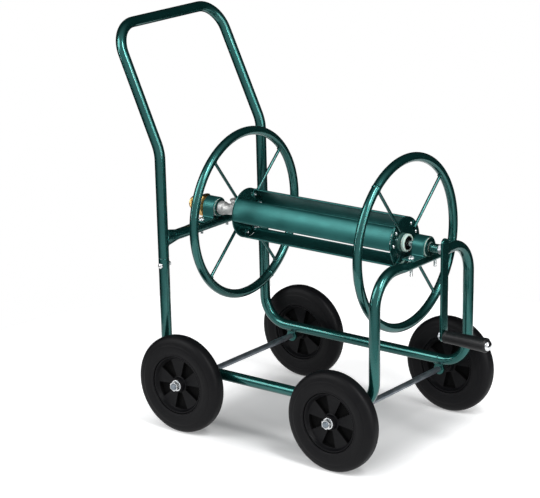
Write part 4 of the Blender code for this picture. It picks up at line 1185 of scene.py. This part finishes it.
def panel(number, middle_deg):
    """A curved sheet with its long edges rolled in a little, and two tabs bent in at each end."""
    low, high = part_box(f"drum_panel_{number}")
    x = rimmed(float(low.x), float(high.x), 0.0007, 0.02)
    a = math.radians(middle_deg) + rimmed(-PANEL_HALF, PANEL_HALF, 0.0007 / PANEL_R, 0.06)
    from_edge = PANEL_HALF - np.abs(a - math.radians(middle_deg))
    radius = PANEL_R - PANEL_T / 2 - 0.0022 * np.clip(1 - from_edge / 0.055, 0, 1) ** 2
    ray = np.stack([np.cos(a), np.sin(a)], axis=1)
    middle = np.zeros((len(x), len(a), 3))
    middle[..., 0] = x[:, None]
    middle[..., 1] = radius * ray[:, 0]
    middle[..., 2] = REEL_Z + radius * ray[:, 1]
    normal = np.zeros_like(middle)
    normal[..., 1], normal[..., 2] = ray[:, 0], ray[:, 1]
    grids = sheet(middle, normal, PANEL_T, 0.0007)
    for end_x, inward in ((float(low.x), 1), (float(high.x), -1)):
        for spread in (-TAB_SPREAD, TAB_SPREAD):
            turn = math.radians(middle_deg) + spread
            out = np.array([0, math.cos(turn), math.sin(turn)])
            side = np.array([0, -math.sin(turn), math.cos(turn)])
            r, w = rimmed(0.034, PANEL_R - 0.0009, 0.0007, 0.004), rimmed(-0.006, 0.006, 0.0007, 0.003)
            foot = np.array([end_x + inward * PANEL_T / 2, 0, REEL_Z])
            tab = foot + r[:, None, None] * out + w[None, :, None] * side
            face = np.broadcast_to(AXES[0], tab.shape)
            grids += sheet(tab, face, PANEL_T, 0.0007)
    return piece(f"drum_panel_sheet_{number}", grids, GREEN_SATIN, "reel", [f"drum_panel_{number}"])


panels = [panel(number, middle) for number, middle in enumerate(PANEL_MIDDLES, start=1)]
report("drum", *panels)


# %% Drum screws
SCREW_CIRCLE_R = 0.0405
NUT_R = 0.0040


def drum_screws(end):
    """Pan-head screws through the disc into the tabs, on one pitch circle, each held by a hex nut inside."""
    x = RINGS[end][0]
    outward = -1.0 if end == "inlet" else 1.0
    face = x - outward * 0.0045 + outward * 0.0015
    grids = []
    for middle in PANEL_MIDDLES:
        for spread in (-TAB_SPREAD, TAB_SPREAD):
            turn = math.radians(middle) + spread
            _, y, z = around(0.0, SCREW_CIRCLE_R, turn)
            centre = (0.0, float(y), float(z))
            grids.append(dome_head(face, outward * 0.0019, 0.0036, 0, centre, sides=28))
            tab = float(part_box("drum_panel_1")[end == "crank"].x) - outward * (PANEL_T + 0.0001)
            tip = tab - outward * 0.0028
            a, b = min(tab, tip), max(tab, tip)
            flats = [(v, NUT_R) for v in span_of(a, b, 0.0007)]
            flats = [(a, 0.0), (a, 0.85 * NUT_R)] + flats + [(b, 0.85 * NUT_R), (b, 0.0)]
            grids.append(turned(flats, 0, centre, sides=36, closed=False, shape=hexagon(NUT_R, a, b, 0.88)))
            grids.append(dome_head(tip, -outward * 0.0022, 0.0019, 0, centre, sides=20))
    return piece(end + "_drum_screws", grids, ZINC, "reel")


report("drum screws", *[drum_screws(end) for end in ("inlet", "crank")])

# %% [markdown]
# ## The crank
#
# The arm is a flat bar with round ends: a turned plate pulled out along its middle line. At its foot a bolt
# carries the grip, which turns freely; a domed, chromed head closes it. The grip swells towards its end so
# that a hand doesn't slide off.

# %% Crank arm
def crank_arm():
    """point(s, a) = end centre(a) + r(s) (cos a, sin a); the upper half turns about one end, the lower the other."""
    low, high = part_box("crank_arm")
    x0, x1 = float(low.x), float(high.x)
    half = float(high.y - low.y) / 2
    top, foot = float(high.z) - half, float(low.z) + half
    line = eased([(x0, 0.0), (x0, half), (x1, half), (x1, 0.0)], 0.0007, 4, closed=False)
    a = np.r_[np.linspace(0, math.pi, 25), np.linspace(math.pi, 2 * math.pi, 25)]
    centre_z = np.r_[np.full(25, top), np.full(25, foot)]
    grid = np.zeros((len(line), len(a), 3))
    grid[..., 0] = line[:, :1]
    grid[..., 1] = line[:, 1:] * np.cos(a)
    grid[..., 2] = centre_z + line[:, 1:] * np.sin(a)
    return piece("crank_arm_bar", [(grid, False, True)], GREEN, "reel", ["crank_arm"])


def crank_nuts():
    """The lock nut on the shaft and the nut on the grip's bolt."""
    lock_low, lock_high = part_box("crank_lock_nut")
    grip_low, grip_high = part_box("grip_nut")
    grip_z = float(grip_low.z + grip_high.z) / 2
    lock = piece("crank_lock_nut_hex", [nut(float(lock_low.x), float(lock_high.x), 0.0105, 0.0062, 0, REEL_CENTRE)],
                 DULL_ZINC, "reel", ["crank_lock_nut"])
    end = piece("grip_nut_hex", [nut(float(grip_low.x), float(grip_high.x), 0.0088, 0.0042, 0, (0, 0, grip_z))],
                DULL_ZINC, "reel", ["grip_nut"])
    return lock, end


def grip_and_bolt():
    """The bolt's domed head and the waisted grip, both turned about the grip's own axis."""
    bolt_low, bolt_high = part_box("grip_bolt")
    grip_low, grip_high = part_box("crank_grip")
    centre = (0.0, 0.0, float(grip_low.z + grip_high.z) / 2)
    seat = float(grip_high.x) + GAP
    head = [(seat, 0.0), (seat, 0.0105), (seat + 0.0016, 0.0105), (seat + 0.0046, 0.0096), (seat + 0.0066, 0.0060),
            (float(bolt_high.x), 0.0)]
    head = turned(eased(head, 0.0012, 5, closed=False), 0, centre, sides=56, closed=False)
    shank = threaded_bar(float(bolt_low.x), seat + 0.001, 0.004, 0, centre, BAR_PITCH, 0.0004)
    bolt = piece("grip_bolt_domed", [head, shank], CHROME, "reel", ["grip_bolt"])
    x0, x1 = float(grip_low.x), float(grip_high.x)
    line = [(x0, 0.0046), (x0, 0.0125), (x0 + 0.0050, 0.0128), (x0 + 0.0062, 0.0119), (x0 + 0.0250, 0.0124),
            (x0 + 0.0600, 0.0136), (x1 - 0.0120, 0.0140), (x1 - 0.0050, 0.0146), (x1 - 0.0012, 0.0146),
            (x1, 0.0132), (x1, 0.0046)]
    grip = piece("crank_grip_moulded", [turned(eased(line, 0.0020, 5), 0, centre, sides=72)], GRIP_BLACK, "grip",
                 ["crank_grip"])
    return bolt, grip


report("crank", crank_arm(), *crank_nuts(), *grip_and_bolt())

# %% [markdown]
# ## Floor, light and camera
#
# The cart stands on a pale floor in a bright studio. Soft boxes shine from the left, the right and high in front,
# and narrow strips beside them draw thin streaks along the tubes. The surroundings are bright in front of the cart
# and dark behind it, so a round tube goes from a bright middle to dark edges.

# %% Floor
FLOOR_R = 0.95
floor_mesh = bpy.data.meshes.new("studio_floor")
rim_turn = np.arange(64) * 2 * math.pi / 64
floor_rim = np.stack([FLOOR_R * np.cos(rim_turn), FLOOR_R * np.sin(rim_turn), 0 * rim_turn], axis=1)
floor_mesh.from_pydata(floor_rim.tolist(), [], [list(range(64))])
floor = bpy.data.objects.new("studio_floor", floor_mesh)
bpy.context.scene.collection.objects.link(floor)
floor_finish, floor_tree, floor_shader, floor_where = new_finish(
    "studio_white", Roughness=0.9, Specular_IOR_Level=0.1, Emission_Color=(1.0, 1.0, 1.0, 1.0))
floor_tone = blended(floor_tree, speckle(floor_tree, floor_where, 2.0), (0.90, 0.90, 0.90), (0.92, 0.92, 0.92))

# %% The painted shadow under the cart
SHADE_HALF = (0.26, 0.22)
SHADE_SOFT = 0.07

# Painted shadow: inside a soft-edged box under the cart, the floor's glow drops from 0.55 to 0.06 and its colour
# greys towards 0.66. This grey patch stands in for the cart's shadow.
apart = node(floor_tree, "VectorMath", {0: floor_where}, operation="ABSOLUTE").outputs[0]
apart = node(floor_tree, "SeparateXYZ", {0: apart})
shade = [node(floor_tree, "MapRange", {"Value": apart.outputs[k], "From Min": half - SHADE_SOFT,
                                       "From Max": half + SHADE_SOFT, "To Min": 1.0, "To Max": 0.0},
              interpolation_type="SMOOTHSTEP").outputs["Result"] for k, half in enumerate(SHADE_HALF)]
shade = node(floor_tree, "Math", {0: shade[0], 1: shade[1]}, operation="MULTIPLY").outputs[0]
direct = node(floor_tree, "LightPath").outputs["Is Camera Ray"]
bright = between(floor_tree, shade, 0.55, 0.06, 0.0, 1.0)
strength = node(floor_tree, "Mix", {0: direct, 2: 0.18, 3: bright}, data_type="FLOAT").outputs[0]
floor_tree.links.new(strength, floor_shader.inputs["Emission Strength"])
floor_tree.links.new(blended(floor_tree, shade, floor_tone, (0.66, 0.66, 0.66)), floor_shader.inputs["Base Color"])
floor_mesh.materials.append(floor_finish)
print("floor of radius", FLOOR_R, "with a shade of", SHADE_HALF)

# %% Surroundings
BRIGHT_SIDE = (0.574, -0.771, 0.276)

world = bpy.data.worlds.new("studio")
bpy.context.scene.world = world
world.use_nodes = True
sky = world.node_tree
for old in list(sky.nodes):
    sky.nodes.remove(old)
path_kind = node(sky, "LightPath")
seen = node(sky, "Background", {"Color": (1.0, 1.0, 1.0, 1.0), "Strength": 1.0})
heading = node(sky, "TexCoord").outputs["Generated"]
facing = node(sky, "VectorMath", {0: heading, 1: BRIGHT_SIDE}, operation="DOT_PRODUCT").outputs["Value"]
glow = node(sky, "MapRange", {"Value": facing, "From Min": -0.15, "From Max": 0.9, "To Min": 0.015, "To Max": 0.75},
            interpolation_type="SMOOTHSTEP").outputs["Result"]
unseen = node(sky, "Background", {"Color": (0.96, 0.98, 1.0, 1.0), "Strength": glow})
mixed = node(sky, "MixShader", {0: path_kind.outputs["Is Camera Ray"], 1: unseen.outputs[0], 2: seen.outputs[0]})
node(sky, "OutputWorld", {"Surface": mixed.outputs[0]})


# %% Lights
def soft_box(name, place, target, size, power, colour=(1.0, 1.0, 1.0)):
    """An area light at a place, turned to face a point that isn't straight below or above it."""
    data = bpy.data.lights.new(name, "AREA")
    data.shape = "RECTANGLE"
    data.size, data.size_y = size
    data.energy = power
    data.color = colour
    made = bpy.data.objects.new(name, data)
    back = np.asarray(place, float) - np.asarray(target, float)
    back /= np.linalg.norm(back)
    right = np.cross(AXES[2], back)
    right /= np.linalg.norm(right)
    turn = Matrix(np.stack([right, np.cross(back, right), back], axis=1).tolist()).to_4x4()
    turn.translation = place
    made.matrix_world = turn
    bpy.context.scene.collection.objects.link(made)
    return made


soft_box("key_box", (-1.6, -2.6, 2.4), (0.0, 0.0, 0.3), (1.4, 2.0), 44.0)
soft_box("side_box", (3.1, 0.2, 1.5), (0.0, 0.0, 0.3), (0.7, 2.4), 30.0)
soft_box("left_strip", (-2.2, -1.9, 1.3), (0.0, 0.0, 0.4), (0.22, 2.4), 16.0)
soft_box("right_strip", (2.9, -0.9, 1.2), (0.0, 0.0, 0.4), (0.22, 2.4), 16.0)
soft_box("crown_box", (1.9, -0.9, 2.7), (0.0, 0.0, 0.4), (0.45, 1.3), 42.0)

# %% Camera
CAMERA_PLACE = (2.5623, -3.5781, 1.6434)
CAMERA_AZIMUTH, CAMERA_ELEVATION, CAMERA_ROLL = math.radians(36.64), math.radians(16.00), math.radians(-0.448)


def camera():
    """Look along the azimuth and elevation; the roll turns the right and up directions about that line."""
    a, e = CAMERA_AZIMUTH, CAMERA_ELEVATION
    forward = np.array([-math.sin(a) * math.cos(e), math.cos(a) * math.cos(e), -math.sin(e)])
    right = np.array([math.cos(a), math.sin(a), 0.0])
    up = np.cross(right, forward)
    c, s = math.cos(CAMERA_ROLL), math.sin(CAMERA_ROLL)
    right, up = c * right + s * up, c * up - s * right
    data = bpy.data.cameras.new("studio_camera")
    data.lens, data.sensor_width = 151.54, 36.0
    data.shift_x, data.shift_y = -0.0209, -0.0118
    made = bpy.data.objects.new("studio_camera", data)
    turn = Matrix(np.stack([right, up, -forward], axis=1).tolist()).to_4x4()
    turn.translation = CAMERA_PLACE
    made.matrix_world = turn
    bpy.context.scene.collection.objects.link(made)
    bpy.context.scene.camera = made
    return made


print("camera", camera().name)
bpy.context.scene.view_settings.view_transform = "Standard"
